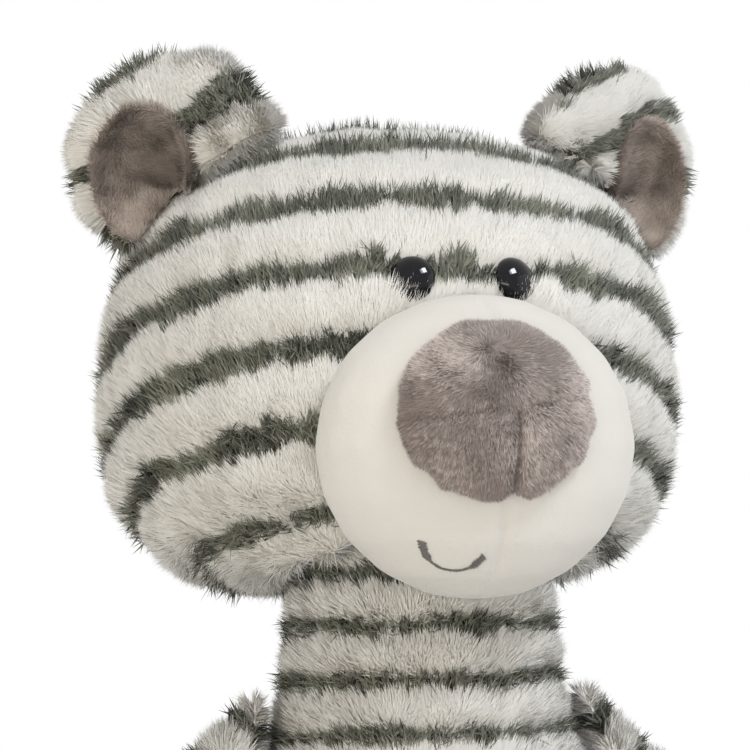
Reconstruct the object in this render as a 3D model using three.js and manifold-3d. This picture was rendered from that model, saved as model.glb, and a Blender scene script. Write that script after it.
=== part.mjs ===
// A seated plush bear, about 29 cm tall, with a big head, a padded muzzle and a three-panel nose.
// Millimetres, +Z up. The face looks along -Y and +X is the bear's own left.
// The origin is the middle of the flat seat that the bear sits on.

import * as THREE from 'three';
import { mergeVertices } from 'three/addons/utils/BufferGeometryUtils.js';
import Module from 'manifold-3d';

// Cloth and clearances
const PILE_CLOTH = 3; // long-pile cloth of head, ears, body and limbs
const SMOOTH_CLOTH = 1.6; // short-pile cloth of muzzle, nose, ear linings and soles
const SEAM_GAP = 0.3; // between pieces that are sewn or stuffed against each other
const JOINT_GAP = 0.5; // between limbs and the body that they turn on
const NECK_GAP = 1; // round the neck, between the facets that turn in each other
const COLLAR_GAP = 4; // round the neck below its pivot, so that the head can nod
const COLLAR_HEIGHT = 6; // the wider gap ends this far above the pivot

// Head, measured from the middle of the head at the level of the widest cheeks
const HEAD_WIDTH = 170;
const HEAD_DEPTH = 160;
const CROWN_HEIGHT = 82; // cheeks to the top
const JOWL_HEIGHT = 53; // cheeks to the underside
const CROWN_ROUNDNESS = 2.5; // superellipse powers: 2 is an ellipse, more is squarer
const JOWL_ROUNDNESS = 3;
const HEAD_SETBACK = 32; // middle of the head behind the neck's axis
const CHEEKS_OVER_NECK = 53; // cheek level above the neck's pivot
const HEAD_SEAM_SETBACK = 4; // seam between the two head panels behind the middle

// Muzzle and nose, sewn to the front of the head
const MUZZLE_WIDTH = 86;
const MUZZLE_HEIGHT = 80;
const MUZZLE_DEPTH = 56;
const MUZZLE_FORWARD = 82; // middle of the muzzle in front of the middle of the head
const MUZZLE_DROP = 8; // middle of the muzzle below the cheek level
const NOSE_WIDTH = 54;
const NOSE_HEIGHT = 49;
const NOSE_DEPTH = 36;
const NOSE_FORWARD = 17; // middle of the nose in front of the middle of the muzzle
const NOSE_RISE = 6.5; // middle of the nose above the middle of the muzzle
const NOSE_SIDE = 2; // the nose is sewn this far to the bear's right of its middle seam
const NOSE_SEAM_RISE = 4; // seam under the nose's top panel above the middle of the nose
const NOSE_SEAM_TILT = 0.05; // radians, the top panel's seam rises to the back
const NOSE_SEAM_SKEW = 0.12; // radians, and to the bear's left

// Mouth, one curved line of thread on the bear's right half of the muzzle
const THREAD = 2.2; // width of the sewn line
const MOUTH_OUTER = { x: -20.6, z: -23.2 }; // ends, measured from the middle of the muzzle
const MOUTH_INNER = { x: -4.1, z: -27.5 };
const MOUTH_OUTER_PULL = { x: -20.5, z: -33 }; // points that the line's two ends aim at
const MOUTH_INNER_PULL = { x: -6.5, z: -35 };

// Eyes, domed buttons on a stem with a washer behind the cloth
const EYE_SPACING = 28;
const EYE_RISE = 35.4; // above the cheek level
const EYE_DIAMETER = 12;
const EYE_HEIGHT = 4.6;
const EYE_EDGE = 0.9;
const STEM_DIAMETER = 3.2;
const STEM_LENGTH = 11;
const WASHER_DIAMETER = 11;
const WASHER_THICKNESS = 1.6;
const WASHER_CLEARANCE = 1.7; // the curved, faceted cloth over a flat washer

// Ears, thick cloth cups that face forward and a little outward
const EAR_SPACING = 126; // between the middles of the ears
const EAR_RISE = 70.5; // above the cheek level
const EAR_SETBACK = -12; // in front of the middle of the head
const EAR_DIAMETER = 62;
const EAR_THICKNESS = 22;
const EAR_TURN = 0.35; // radians, outward
const EAR_HOLLOW_WIDTH = 32;
const EAR_HOLLOW_HEIGHT = 42;
const EAR_HOLLOW_DEPTH = 12;
const EAR_HOLLOW_SHIFT = 9; // the hollow lies towards the ear's outer edge
const EAR_HOLLOW_DROP = 6;

// Body, turned about the vertical axis
const NECK_HEIGHT = 137; // the head's pivot above the seat
const NECK_RADIUS = 38;
const BELLY_RADIUS = 57;
const BELLY_HEIGHT = 48;
const BELLY_FULLNESS = 26; // how far the belly keeps its width upward
const NECK_STRETCH = 43; // how far the neck keeps its width downward
const SEAT_RADIUS = 44;
const SEAT_ROUNDING = 3; // the seat's edge stays this far inside the belly's width
const SEAT_PANEL_RADIUS = 36;
const SEAT_PANEL_LIP = 1; // the seat panel turns up inside by this much
const WAD_RADIUS = 15.5; // firm wad of filling that carries the head
const WAD_LENGTH = 71;

// Bag of pellets in the seat
const BAG_WIDTH = 62;
const BAG_DEPTH = 42;
const BAG_HEIGHT = 20;
const BAG_SETBACK = 13;
const BAG_SAG = 0.4; // share of the bag's height that is below its middle

// Arms
const SHOULDER_HEIGHT = 109;
const SHOULDER_OUT = 34; // the arm's line crosses the shoulder's axis here
const ARM_SPREAD = 0.78; // radians from straight down
const ARM_RADIUS = 16;
const ARM_LENGTH = 78; // shoulder to the middle of the paw
const PAW_RADIUS = 19;

// Legs, stretched out in front
const HIP_SPACING = 70;
const HIP_FORWARD = 40;
const HIP_RADIUS = 21;
const HIP_SIDE_ROOM = 3; // room beside the hip in the body
const LEG_RAISE = 0.38; // radians that the body leaves free above the resting leg
const LEG_SPLAY = 0.17; // radians, feet apart
const LEG_LENGTH = 112; // hip to sole
const SHIN_RADIUS = 20;
const FOOT_RADIUS = 26;
const FOOT_RISE = 3; // half height of the foot over its half width
const HEEL_LENGTH = 20; // fullest part of the foot to the sole
const SOLE_RADIUS = 21;
const SOLE_CROWN = 1.5;
const SOLE_EDGE = 1; // small rounding where the foot meets the sole
const FLOOR_FLAT = 0.5; // how much of the round legs is pressed flat by the floor

// Facets
const ROUND_STEPS = 24;
const MUZZLE_STEPS = 20;
const MIDDLE_STEPS = 16;
const LIMB_STEPS = 14;
const SMALL_STEPS = 10;
const HEAD_ROWS = 12;
const CURVE_STEPS = 4;
const SHORT_CURVE_STEPS = 3;
const WAD_CURVE_STEPS = 2;

const FAR = 300; // reach of a cutting block past the bear

const wasm = await Module();
wasm.setup();

const fleece = { color: 0xdedad2, roughness: 0.95, metalness: 0 };
const velour = { color: 0xece8e1, roughness: 0.85, metalness: 0 };
const greyVelour = { color: 0x8c807d, roughness: 0.85, metalness: 0 };
const glossBlack = { color: 0x0a0a0b, roughness: 0.08, metalness: 0 };
const clearNylon = { color: 0xd9d9d4, roughness: 0.5, metalness: 0 };
const greyThread = { color: 0x6e6c6c, roughness: 0.7, metalness: 0 };
const filling = { color: 0xf3f1ec, roughness: 1, metalness: 0 };
const pelletBag = { color: 0xbdb5a6, roughness: 0.9, metalness: 0 };

// A closed three.js geometry as a solid that can be joined and cut
function solid(geometry, place = new THREE.Matrix4()) {
  const bare = geometry.clone().applyMatrix4(place);
  bare.deleteAttribute('normal');
  bare.deleteAttribute('uv');
  const merged = mergeVertices(bare, 1e-4);
  const index = merged.index.array;
  const triangles = [];
  for (let i = 0; i < index.length; i += 3) {
    const [a, b, c] = index.subarray(i, i + 3);
    if (a !== b && b !== c && c !== a) triangles.push(a, b, c);
  }
  return new wasm.Manifold(new wasm.Mesh({
    numProp: 3,
    vertProperties: new Float32Array(merged.attributes.position.array),
    triVerts: new Uint32Array(triangles),
  }));
}

// A named mesh of the finished solid
function piece(name, body, finish) {
  const { vertProperties, triVerts } = body.getMesh();
  const geometry = new THREE.BufferGeometry();
  geometry.setAttribute('position', new THREE.BufferAttribute(vertProperties, 3));
  geometry.setIndex(new THREE.BufferAttribute(triVerts, 1));
  geometry.computeVertexNormals();
  const mesh = new THREE.Mesh(geometry, new THREE.MeshStandardMaterial(finish));
  mesh.name = name;
  return mesh;
}

// Points of a profile (radius, height), turned about +Z
function turned(points, steps) {
  return new THREE.LatheGeometry(points, steps).rotateX(Math.PI / 2);
}

function at(x, y, z) {
  return new THREE.Matrix4().makeTranslation(x, y, z);
}

// Place with its own +Z along a direction
function aimed(position, direction) {
  const up = new THREE.Vector3(0, 0, 1);
  const turn = new THREE.Quaternion().setFromUnitVectors(up, direction);
  return new THREE.Matrix4().compose(position, turn, new THREE.Vector3(1, 1, 1));
}

function ellipsoid(halfX, halfY, halfZ, place, steps = ROUND_STEPS) {
  const ball = new THREE.SphereGeometry(1, steps, Math.round(steps / 2));
  ball.rotateX(Math.PI / 2).scale(halfX, halfY, halfZ);
  return solid(ball, place);
}

// Block that fills everything on one side of a plane across an axis
function block(axis, from, to) {
  const size = new THREE.Vector3(2 * FAR, 2 * FAR, 2 * FAR);
  const middle = new THREE.Vector3();
  size[axis] = to - from;
  middle[axis] = (from + to) / 2;
  return solid(new THREE.BoxGeometry(size.x, size.y, size.z), at(middle.x, middle.y, middle.z));
}

// The head: a squashed round form, fuller at the cheeks than at the crown
function head(inset) {
  const halfWidth = HEAD_WIDTH / 2 - inset;
  const points = [];
  for (let i = -HEAD_ROWS / 2; i <= HEAD_ROWS / 2; i += 1) {
    const angle = (i / HEAD_ROWS) * Math.PI;
    const height = (i < 0 ? JOWL_HEIGHT : CROWN_HEIGHT) - inset;
    const power = 2 / (i < 0 ? JOWL_ROUNDNESS : CROWN_ROUNDNESS);
    const out = Math.abs(i) === HEAD_ROWS / 2 ? 0 : Math.cos(angle) ** power;
    const up = Math.sign(i) * Math.abs(Math.sin(angle)) ** power;
    points.push(new THREE.Vector2(halfWidth * out, height * up));
  }
  const squeeze = (HEAD_DEPTH / 2 - inset) / halfWidth;
  return solid(turned(points, ROUND_STEPS).scale(1, squeeze, 1));
}

// Point and outward direction on the front of the head
function onFace(x, z) {
  const [height, power] = z < 0 ? [JOWL_HEIGHT, JOWL_ROUNDNESS] : [CROWN_HEIGHT, CROWN_ROUNDNESS];
  const halfWidth = HEAD_WIDTH / 2;
  const squeeze = HEAD_DEPTH / HEAD_WIDTH;
  const level = Math.abs(z) / height;
  const ring = halfWidth * (1 - level ** power) ** (1 / power);
  const y = -squeeze * Math.sqrt(ring ** 2 - x ** 2);
  const around = ((ring / halfWidth) ** (power - 1)) / halfWidth / ring;
  const upward = (Math.sign(z) * level ** (power - 1)) / height;
  const out = new THREE.Vector3(around * x, (around * y) / squeeze ** 2, upward).normalize();
  return { point: new THREE.Vector3(x, y, z), out };
}

const muzzleMiddle = new THREE.Vector3(0, -MUZZLE_FORWARD, -MUZZLE_DROP);
const noseMiddle = muzzleMiddle.clone().add(new THREE.Vector3(-NOSE_SIDE, -NOSE_FORWARD, NOSE_RISE));

function muzzle(inset) {
  const place = new THREE.Matrix4().setPosition(muzzleMiddle);
  const halves = [MUZZLE_WIDTH, MUZZLE_DEPTH, MUZZLE_HEIGHT].map((size) => size / 2 - inset);
  return ellipsoid(...halves, place, MUZZLE_STEPS);
}

function nose(inset) {
  const place = new THREE.Matrix4().setPosition(noseMiddle);
  const halves = [NOSE_WIDTH, NOSE_DEPTH, NOSE_HEIGHT].map((size) => size / 2 - inset);
  return ellipsoid(...halves, place, MIDDLE_STEPS);
}

// Hollow in the head that the round top of the neck sits in
function neckSocket() {
  const radius = NECK_RADIUS + NECK_GAP;
  const pivot = at(0, -HEAD_SETBACK, -CHEEKS_OVER_NECK);
  const collar = rod(NECK_RADIUS + COLLAR_GAP, -FAR, COLLAR_HEIGHT, pivot, LIMB_STEPS);
  return ellipsoid(radius, radius, radius, pivot).add(collar);
}

function eyePlaces() {
  return [['left', 1], ['right', -1]].map(([side, sign]) => {
    const { point, out } = onFace((sign * EYE_SPACING) / 2, EYE_RISE);
    return { side, place: aimed(point.addScaledVector(out, SEAM_GAP), out) };
  });
}

function rod(radius, from, to, place, steps = SMALL_STEPS) {
  const points = [[0, from], [radius, from], [radius, to], [0, to]];
  return solid(turned(points.map(([r, z]) => new THREE.Vector2(r, z)), steps), place);
}

// Two head panels with the openings for neck, muzzle and eye stems, over one wad of filling
function headPieces() {
  const shell = head(0).subtract(head(PILE_CLOTH)).subtract(neckSocket());
  let front = shell.subtract(block('y', HEAD_SEAM_SETBACK - SEAM_GAP / 2, FAR));
  front = front.subtract(muzzle(-SEAM_GAP));
  let inside = head(PILE_CLOTH + SEAM_GAP).subtract(neckSocket());
  for (const { place } of eyePlaces()) {
    front = front.subtract(rod(STEM_DIAMETER / 2 + SEAM_GAP, -STEM_LENGTH, STEM_LENGTH, place));
    const pocket = WASHER_DIAMETER / 2 + SEAM_GAP;
    inside = inside.subtract(rod(pocket, -STEM_LENGTH - SEAM_GAP, STEM_LENGTH, place));
  }
  const back = shell.subtract(block('y', -FAR, HEAD_SEAM_SETBACK + SEAM_GAP / 2));
  return [
    piece('head_front_panel', front, fleece),
    piece('head_back_panel', back, fleece),
    piece('head_stuffing', inside, filling),
  ];
}

// Smooth cover and filling of the muzzle, open to the head's filling behind and clear of the neck
function muzzlePieces() {
  const behind = head(PILE_CLOTH).add(neckSocket());
  const cover = muzzle(0).subtract(muzzle(SMOOTH_CLOTH)).subtract(behind);
  const inside = muzzle(SMOOTH_CLOTH + SEAM_GAP).subtract(behind);
  return [
    piece('muzzle_cover', cover, velour),
    piece('muzzle_stuffing', inside, filling),
  ];
}

// Nose of a top panel and two lower panels, sewn together and padded
function nosePieces() {
  const behind = muzzle(-SEAM_GAP);
  const cover = nose(0).subtract(nose(SMOOTH_CLOTH)).subtract(behind);
  const slant = new THREE.Euler(NOSE_SEAM_TILT, -NOSE_SEAM_SKEW, 0);
  const tilt = new THREE.Matrix4().makeRotationFromEuler(slant);
  const seam = tilt.setPosition(noseMiddle.clone().add(new THREE.Vector3(0, 0, NOSE_SEAM_RISE)));
  const half = new THREE.BoxGeometry(FAR, FAR, FAR);
  const above = solid(half.clone().translate(0, 0, FAR / 2 + SEAM_GAP / 2), seam);
  const below = solid(half.clone().translate(0, 0, -FAR / 2 - SEAM_GAP / 2), seam);
  const lower = cover.intersect(below);
  const inside = nose(SMOOTH_CLOTH + SEAM_GAP).subtract(behind);
  return [
    piece('nose_top_panel', cover.intersect(above), greyVelour),
    piece('nose_left_panel', lower.subtract(block('x', -FAR, SEAM_GAP / 2)), greyVelour),
    piece('nose_right_panel', lower.subtract(block('x', -SEAM_GAP / 2, FAR)), greyVelour),
    piece('nose_stuffing', inside, filling),
  ];
}

// Button eyes with the washers that lock them behind the cloth
function eyePieces() {
  const radius = EYE_DIAMETER / 2;
  const profile = new THREE.Path();
  profile.moveTo(0, -STEM_LENGTH);
  profile.lineTo(STEM_DIAMETER / 2, -STEM_LENGTH);
  profile.lineTo(STEM_DIAMETER / 2, 0);
  profile.lineTo(radius, 0);
  profile.absellipse(0, EYE_EDGE, radius, EYE_HEIGHT - EYE_EDGE, 0, Math.PI / 2);
  const button = turned(profile.getPoints(SHORT_CURVE_STEPS), MIDDLE_STEPS);
  const top = -(SEAM_GAP + PILE_CLOTH + WASHER_CLEARANCE);
  return eyePlaces().flatMap(({ side, place }) => {
    const disc = rod(WASHER_DIAMETER / 2, top - WASHER_THICKNESS, top, place);
    const washer = disc.subtract(rod(STEM_DIAMETER / 2 + SEAM_GAP, -FAR, FAR, place));
    return [
      piece(`eye_${side}`, solid(button, place), glossBlack),
      piece(`eye_washer_${side}`, washer, clearNylon),
    ];
  });
}

// The sewn line of the mouth, lying on the muzzle
function mouthPiece() {
  const lift = SEAM_GAP + THREAD / 2;
  const halfWidth = MUZZLE_WIDTH / 2 + lift;
  const halfDepth = MUZZLE_DEPTH / 2 + lift;
  const halfHeight = MUZZLE_HEIGHT / 2 + lift;
  const marks = [MOUTH_OUTER, MOUTH_OUTER_PULL, MOUTH_INNER_PULL, MOUTH_INNER].map(
    ({ x, z }) => new THREE.Vector2(x, z),
  );
  const flat = new THREE.CubicBezierCurve(...marks);
  const path = flat.getPoints(2 * CURVE_STEPS).map((mark) => {
    const forward = Math.sqrt(1 - (mark.x / halfWidth) ** 2 - (mark.y / halfHeight) ** 2);
    return new THREE.Vector3(mark.x, -halfDepth * forward, mark.y).add(muzzleMiddle);
  });
  const section = new THREE.Shape();
  section.absarc(0, 0, THREAD / 2, 0, 2 * Math.PI);
  const line = new THREE.ExtrudeGeometry(section, {
    steps: 2 * CURVE_STEPS,
    curveSegments: SHORT_CURVE_STEPS,
    bevelEnabled: false,
    extrudePath: new THREE.CatmullRomCurve3(path),
  });
  return piece('mouth_stitch', solid(line), greyThread);
}

// Thick cup-shaped ears with a smooth lining, cut to the head
function earPieces() {
  const skull = head(-SEAM_GAP);
  return [['left', 1], ['right', -1]].flatMap(([side, sign]) => {
    const place = new THREE.Matrix4().makeRotationZ(sign * EAR_TURN);
    place.setPosition((sign * EAR_SPACING) / 2, EAR_SETBACK, EAR_RISE);
    const radius = EAR_DIAMETER / 2;
    const form = ellipsoid(radius, EAR_THICKNESS / 2, radius, place, MIDDLE_STEPS);
    const shift = at(sign * EAR_HOLLOW_SHIFT, -EAR_THICKNESS / 2, -EAR_HOLLOW_DROP).premultiply(place);
    const hollow = (inset) => ellipsoid(
      EAR_HOLLOW_WIDTH / 2 - inset,
      EAR_HOLLOW_DEPTH - inset,
      EAR_HOLLOW_HEIGHT / 2 - inset,
      shift,
      MIDDLE_STEPS,
    );
    const back = form.subtract(hollow(0)).subtract(skull);
    const dish = form.intersect(hollow(SEAM_GAP)).subtract(hollow(SEAM_GAP + SMOOTH_CLOTH));
    return [
      piece(`ear_${side}_back`, back, fleece),
      piece(`ear_${side}_lining`, dish.subtract(skull), greyVelour),
    ];
  });
}

const hipHeight = HIP_RADIUS - FLOOR_FLAT;

// Space under the belly that a leg lies in and swings through
function hipSpace(sign, inset) {
  const radius = HIP_RADIUS + JOINT_GAP + inset;
  const room = 2 * (radius + HIP_SIDE_ROOM);
  const side = new THREE.Shape();
  side.moveTo(-radius, -FAR);
  side.lineTo(-radius, 0);
  side.absarc(0, 0, radius, Math.PI, Math.PI / 2 + LEG_RAISE, true);
  side.lineTo(FAR, radius / Math.cos(LEG_RAISE) + FAR * Math.tan(LEG_RAISE));
  side.lineTo(FAR, -FAR);
  const form = new THREE.ExtrudeGeometry(side, {
    depth: room,
    bevelEnabled: false,
    curveSegments: LIMB_STEPS,
  });
  const forward = new THREE.Vector3(0, -1, 0);
  const up = new THREE.Vector3(0, 0, 1);
  const across = new THREE.Vector3(-1, 0, 0);
  const place = new THREE.Matrix4().makeBasis(forward, up, across);
  place.setPosition((sign * HIP_SPACING) / 2 + room / 2, -HIP_FORWARD, hipHeight);
  return solid(form, place);
}

// Half outline of the body, (radius, height): a pear with a flat seat and a round-topped neck
function torsoOutline(inset) {
  const belly = BELLY_RADIUS - inset;
  const neck = NECK_RADIUS - inset;
  const outline = new THREE.Path();
  outline.moveTo(0, inset);
  outline.lineTo(SEAT_RADIUS - inset, inset);
  outline.bezierCurveTo(belly - SEAT_ROUNDING, inset, belly, BELLY_HEIGHT / 2, belly, BELLY_HEIGHT);
  outline.bezierCurveTo(
    belly, BELLY_HEIGHT + BELLY_FULLNESS, neck, NECK_HEIGHT - NECK_STRETCH, neck, NECK_HEIGHT,
  );
  outline.absarc(0, NECK_HEIGHT, neck, 0, Math.PI / 2);
  return outline.getPoints(CURVE_STEPS);
}

function torso(inset) {
  const form = solid(turned(torsoOutline(inset), ROUND_STEPS));
  return form.subtract(hipSpace(1, inset)).subtract(hipSpace(-1, inset));
}

// Three body panels, the filling, the pellet bag and the wad in the neck
function torsoPieces() {
  const wadFoot = NECK_HEIGHT + NECK_RADIUS - WAD_LENGTH;
  const bore = rod(WAD_RADIUS + NECK_GAP, wadFoot - SEAM_GAP, FAR, at(0, 0, 0), LIMB_STEPS);
  const shell = torso(0).subtract(torso(PILE_CLOTH)).subtract(bore);
  const lip = PILE_CLOTH + SEAT_PANEL_LIP;
  const seat = (gap) => solid(
    turned([
      new THREE.Vector2(0, -FAR),
      new THREE.Vector2(SEAT_PANEL_RADIUS + gap, -FAR),
      new THREE.Vector2(SEAT_PANEL_RADIUS + gap, lip + gap),
      new THREE.Vector2(0, lip + gap),
    ], ROUND_STEPS),
  );
  const upper = shell.subtract(seat(SEAM_GAP));

  const bagFloor = PILE_CLOTH + SEAM_GAP;
  const bagForm = (gap) => ellipsoid(
    BAG_WIDTH / 2 + gap,
    BAG_DEPTH / 2 + gap,
    BAG_HEIGHT / 2 + gap,
    at(0, BAG_SETBACK, bagFloor + BAG_SAG * BAG_HEIGHT),
    MIDDLE_STEPS,
  );
  const bag = bagForm(0).subtract(block('z', -FAR, bagFloor));
  const inside = torso(PILE_CLOTH + SEAM_GAP).subtract(bore).subtract(bagForm(SEAM_GAP));

  const wad = new THREE.Path();
  wad.moveTo(0, wadFoot);
  wad.lineTo(WAD_RADIUS, wadFoot);
  wad.absarc(0, NECK_HEIGHT, NECK_RADIUS, Math.acos(WAD_RADIUS / NECK_RADIUS), Math.PI / 2);
  return [
    piece('torso_front_panel', upper.subtract(block('y', -SEAM_GAP / 2, FAR)), fleece),
    piece('torso_back_panel', upper.subtract(block('y', -FAR, SEAM_GAP / 2)), fleece),
    piece('seat_panel', shell.intersect(seat(0)), fleece),
    piece('torso_stuffing', inside, filling),
    piece('seat_pellet_bag', bag, pelletBag),
    piece('neck_wad', solid(turned(wad.getPoints(WAD_CURVE_STEPS), LIMB_STEPS)), filling),
  ];
}

// An arm from its shoulder, which ends in a rounder paw
function arm(sign, inset) {
  const profile = new THREE.Path();
  const start = -2 * ARM_RADIUS;
  const radius = ARM_RADIUS - inset;
  const paw = PAW_RADIUS - inset;
  profile.moveTo(0, start);
  profile.lineTo(radius, start);
  profile.lineTo(radius, ARM_LENGTH / 4);
  profile.bezierCurveTo(
    radius, ARM_LENGTH / 2, paw, ARM_LENGTH - PAW_RADIUS, paw, ARM_LENGTH,
  );
  profile.absarc(0, ARM_LENGTH, paw, 0, Math.PI / 2);
  const down = new THREE.Vector3(sign * Math.sin(ARM_SPREAD), 0, -Math.cos(ARM_SPREAD));
  const form = turned(profile.getPoints(SHORT_CURVE_STEPS), LIMB_STEPS);
  return solid(form, aimed(new THREE.Vector3(), down));
}

// What an arm must clear as it swings: the body's side, turned about the shoulder's axis
function armClearance(sign) {
  const side = torsoOutline(-JOINT_GAP).filter(({ y }) => y < SHOULDER_HEIGHT);
  const outline = side.map(({ x, y }) => new THREE.Vector2(SHOULDER_HEIGHT - y, x - SHOULDER_OUT));
  const last = outline[outline.length - 1];
  outline.unshift(new THREE.Vector2(0, -FAR), new THREE.Vector2(outline[0].x, -FAR));
  outline.push(new THREE.Vector2(0, last.y));
  const outward = new THREE.Vector3(sign, 0, 0);
  return solid(turned(outline, ROUND_STEPS), aimed(new THREE.Vector3(), outward));
}

function armPieces(side, sign) {
  const clearance = armClearance(sign);
  const cover = arm(sign, 0).subtract(arm(sign, PILE_CLOTH)).subtract(clearance);
  const inside = arm(sign, PILE_CLOTH + SEAM_GAP).subtract(clearance);
  const limb = new THREE.Group();
  limb.position.set(sign * SHOULDER_OUT, 0, SHOULDER_HEIGHT);
  limb.add(piece(`arm_${side}_cover`, cover, fleece));
  limb.add(piece(`arm_${side}_stuffing`, inside, filling));
  return limb;
}

// A round leg profile from the hip to the sole, with the end of the leg where it is asked for
function leg(inset, end) {
  const full = LEG_LENGTH - HEEL_LENGTH;
  const shin = full / 2;
  const ease = full / 5; // how far shin and foot keep their width
  const profile = new THREE.Path();
  profile.absarc(0, 0, HIP_RADIUS - inset, -Math.PI / 2, 0);
  profile.bezierCurveTo(
    HIP_RADIUS - inset, shin / 3, SHIN_RADIUS - inset, shin / 2, SHIN_RADIUS - inset, shin,
  );
  profile.bezierCurveTo(
    SHIN_RADIUS - inset, shin + ease, FOOT_RADIUS - inset, full - ease,
    FOOT_RADIUS - inset, full,
  );
  profile.bezierCurveTo(
    FOOT_RADIUS - inset, full + HEEL_LENGTH / 2,
    SOLE_RADIUS + SOLE_EDGE - inset, LEG_LENGTH - SOLE_EDGE,
    SOLE_RADIUS - inset, LEG_LENGTH,
  );
  if (end > LEG_LENGTH) profile.lineTo(SOLE_RADIUS - inset, end);
  profile.lineTo(0, end);
  return tallFoot(turned(profile.getPoints(SHORT_CURVE_STEPS), LIMB_STEPS), shin, full);
}

// Makes a round leg taller from the shin on, where it becomes the foot
function tallFoot(geometry, shin, full) {
  const spots = geometry.attributes.position;
  for (let i = 0; i < spots.count; i += 1) {
    const share = THREE.MathUtils.smoothstep(spots.getZ(i), shin, full);
    spots.setY(i, spots.getY(i) * (1 + (FOOT_RISE / FOOT_RADIUS) * share));
  }
  return geometry;
}

function legPieces(side, sign) {
  const full = LEG_LENGTH - HEEL_LENGTH;
  const rise = Math.asin((FOOT_RADIUS + FOOT_RISE - HIP_RADIUS) / full);
  const along = new THREE.Vector3(
    sign * Math.sin(LEG_SPLAY) * Math.cos(rise),
    -Math.cos(LEG_SPLAY) * Math.cos(rise),
    Math.sin(rise),
  );
  const across = new THREE.Vector3(0, 0, 1).cross(along).normalize().negate();
  const up = along.clone().cross(across).normalize();
  const place = new THREE.Matrix4().makeBasis(across, up, along);
  const hip = new THREE.Vector3((sign * HIP_SPACING) / 2, -HIP_FORWARD, hipHeight);
  const floor = block('z', -FAR, -hipHeight);
  const innerFloor = block('z', -FAR, PILE_CLOTH + SEAM_GAP - hipHeight);
  const body = torso(-SEAM_GAP).translate(-hip.x, -hip.y, -hip.z);

  const hollow = solid(leg(PILE_CLOTH, LEG_LENGTH + SOLE_EDGE), place);
  const lifted = hollow.subtract(block('z', -FAR, PILE_CLOTH - hipHeight));
  const cover = solid(leg(0, LEG_LENGTH), place).subtract(lifted).subtract(floor).subtract(body);
  const inside = solid(leg(PILE_CLOTH + SEAM_GAP, LEG_LENGTH), place).subtract(innerFloor);

  const crown = new THREE.Path();
  const bottom = LEG_LENGTH + SEAM_GAP;
  crown.moveTo(0, bottom);
  crown.lineTo(SOLE_RADIUS, bottom);
  crown.lineTo(SOLE_RADIUS, bottom + SMOOTH_CLOTH);
  crown.quadraticCurveTo(
    SOLE_RADIUS / 2, bottom + SMOOTH_CLOTH + SOLE_CROWN, 0, bottom + SMOOTH_CLOTH + SOLE_CROWN,
  );
  const pad = tallFoot(turned(crown.getPoints(SHORT_CURVE_STEPS), LIMB_STEPS), full / 2, full);
  const limb = new THREE.Group();
  limb.position.copy(hip);
  limb.add(piece(`leg_${side}_cover`, cover, fleece));
  limb.add(piece(`leg_${side}_stuffing`, inside, filling));
  limb.add(piece(`leg_${side}_sole`, solid(pad, place), greyVelour));
  return limb;
}

const headGroup = new THREE.Group();
headGroup.position.set(0, HEAD_SETBACK, NECK_HEIGHT + CHEEKS_OVER_NECK);
headGroup.add(...headPieces(), ...earPieces(), ...muzzlePieces(), ...nosePieces());
headGroup.add(...eyePieces(), mouthPiece());

const bear = new THREE.Group();
bear.add(...torsoPieces(), headGroup);
for (const [side, sign] of [['left', 1], ['right', -1]]) {
  bear.add(armPieces(side, sign), legPieces(side, sign));
}

export default bear;
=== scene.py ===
# %% [markdown]
# # A striped plush bear
# The imported CAD model holds the bear's true sizes and its joints. This script sews the looks over it:
# stuffed skins, long striped pile, a smooth muzzle, a brushed nose, glossy eyes and a stitched mouth.
# The first cell loads the model.

# %% Load the imported bear
import math

import bmesh
import bpy
import numpy as np
from mathutils import Matrix, Quaternion, Vector, noise
from mathutils.bvhtree import BVHTree


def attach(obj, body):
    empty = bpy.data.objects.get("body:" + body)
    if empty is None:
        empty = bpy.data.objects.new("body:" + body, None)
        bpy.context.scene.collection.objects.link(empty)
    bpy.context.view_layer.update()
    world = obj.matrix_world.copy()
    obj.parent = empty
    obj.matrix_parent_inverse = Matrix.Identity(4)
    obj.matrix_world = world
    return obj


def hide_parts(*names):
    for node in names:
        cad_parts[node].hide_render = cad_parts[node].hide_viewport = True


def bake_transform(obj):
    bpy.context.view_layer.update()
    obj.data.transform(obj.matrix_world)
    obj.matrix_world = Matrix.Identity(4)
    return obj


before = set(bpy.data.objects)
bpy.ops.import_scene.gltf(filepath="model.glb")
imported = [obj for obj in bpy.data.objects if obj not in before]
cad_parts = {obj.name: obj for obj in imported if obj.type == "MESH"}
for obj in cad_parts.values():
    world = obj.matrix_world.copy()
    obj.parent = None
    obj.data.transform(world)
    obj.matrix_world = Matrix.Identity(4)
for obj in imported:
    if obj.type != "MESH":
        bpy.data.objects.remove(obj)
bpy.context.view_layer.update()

MM = 0.001
scene = bpy.context.scene
scene.view_settings.view_transform = "Standard"

# %% [markdown]
# ## Camera
# The photograph is a portrait of the head, taken from the bear's right and from just below its eyes.
# A long lens keeps the muzzle from growing. The camera is aimed at a point inside the head, and its
# place follows from two angles and a distance, which are easier to tune than three coordinates. It is
# rolled a little, because the bear in the photograph leans to one side.

# %% Camera
VIEW_POINT = Vector((-7.5, 18.0, 201.3)) * MM
VIEW_AZIMUTH = math.radians(-15.5)
VIEW_ELEVATION = math.radians(-1.1)
VIEW_ROLL = math.radians(-0.3)
VIEW_DISTANCE = 680 * MM
LENS = 117

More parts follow.
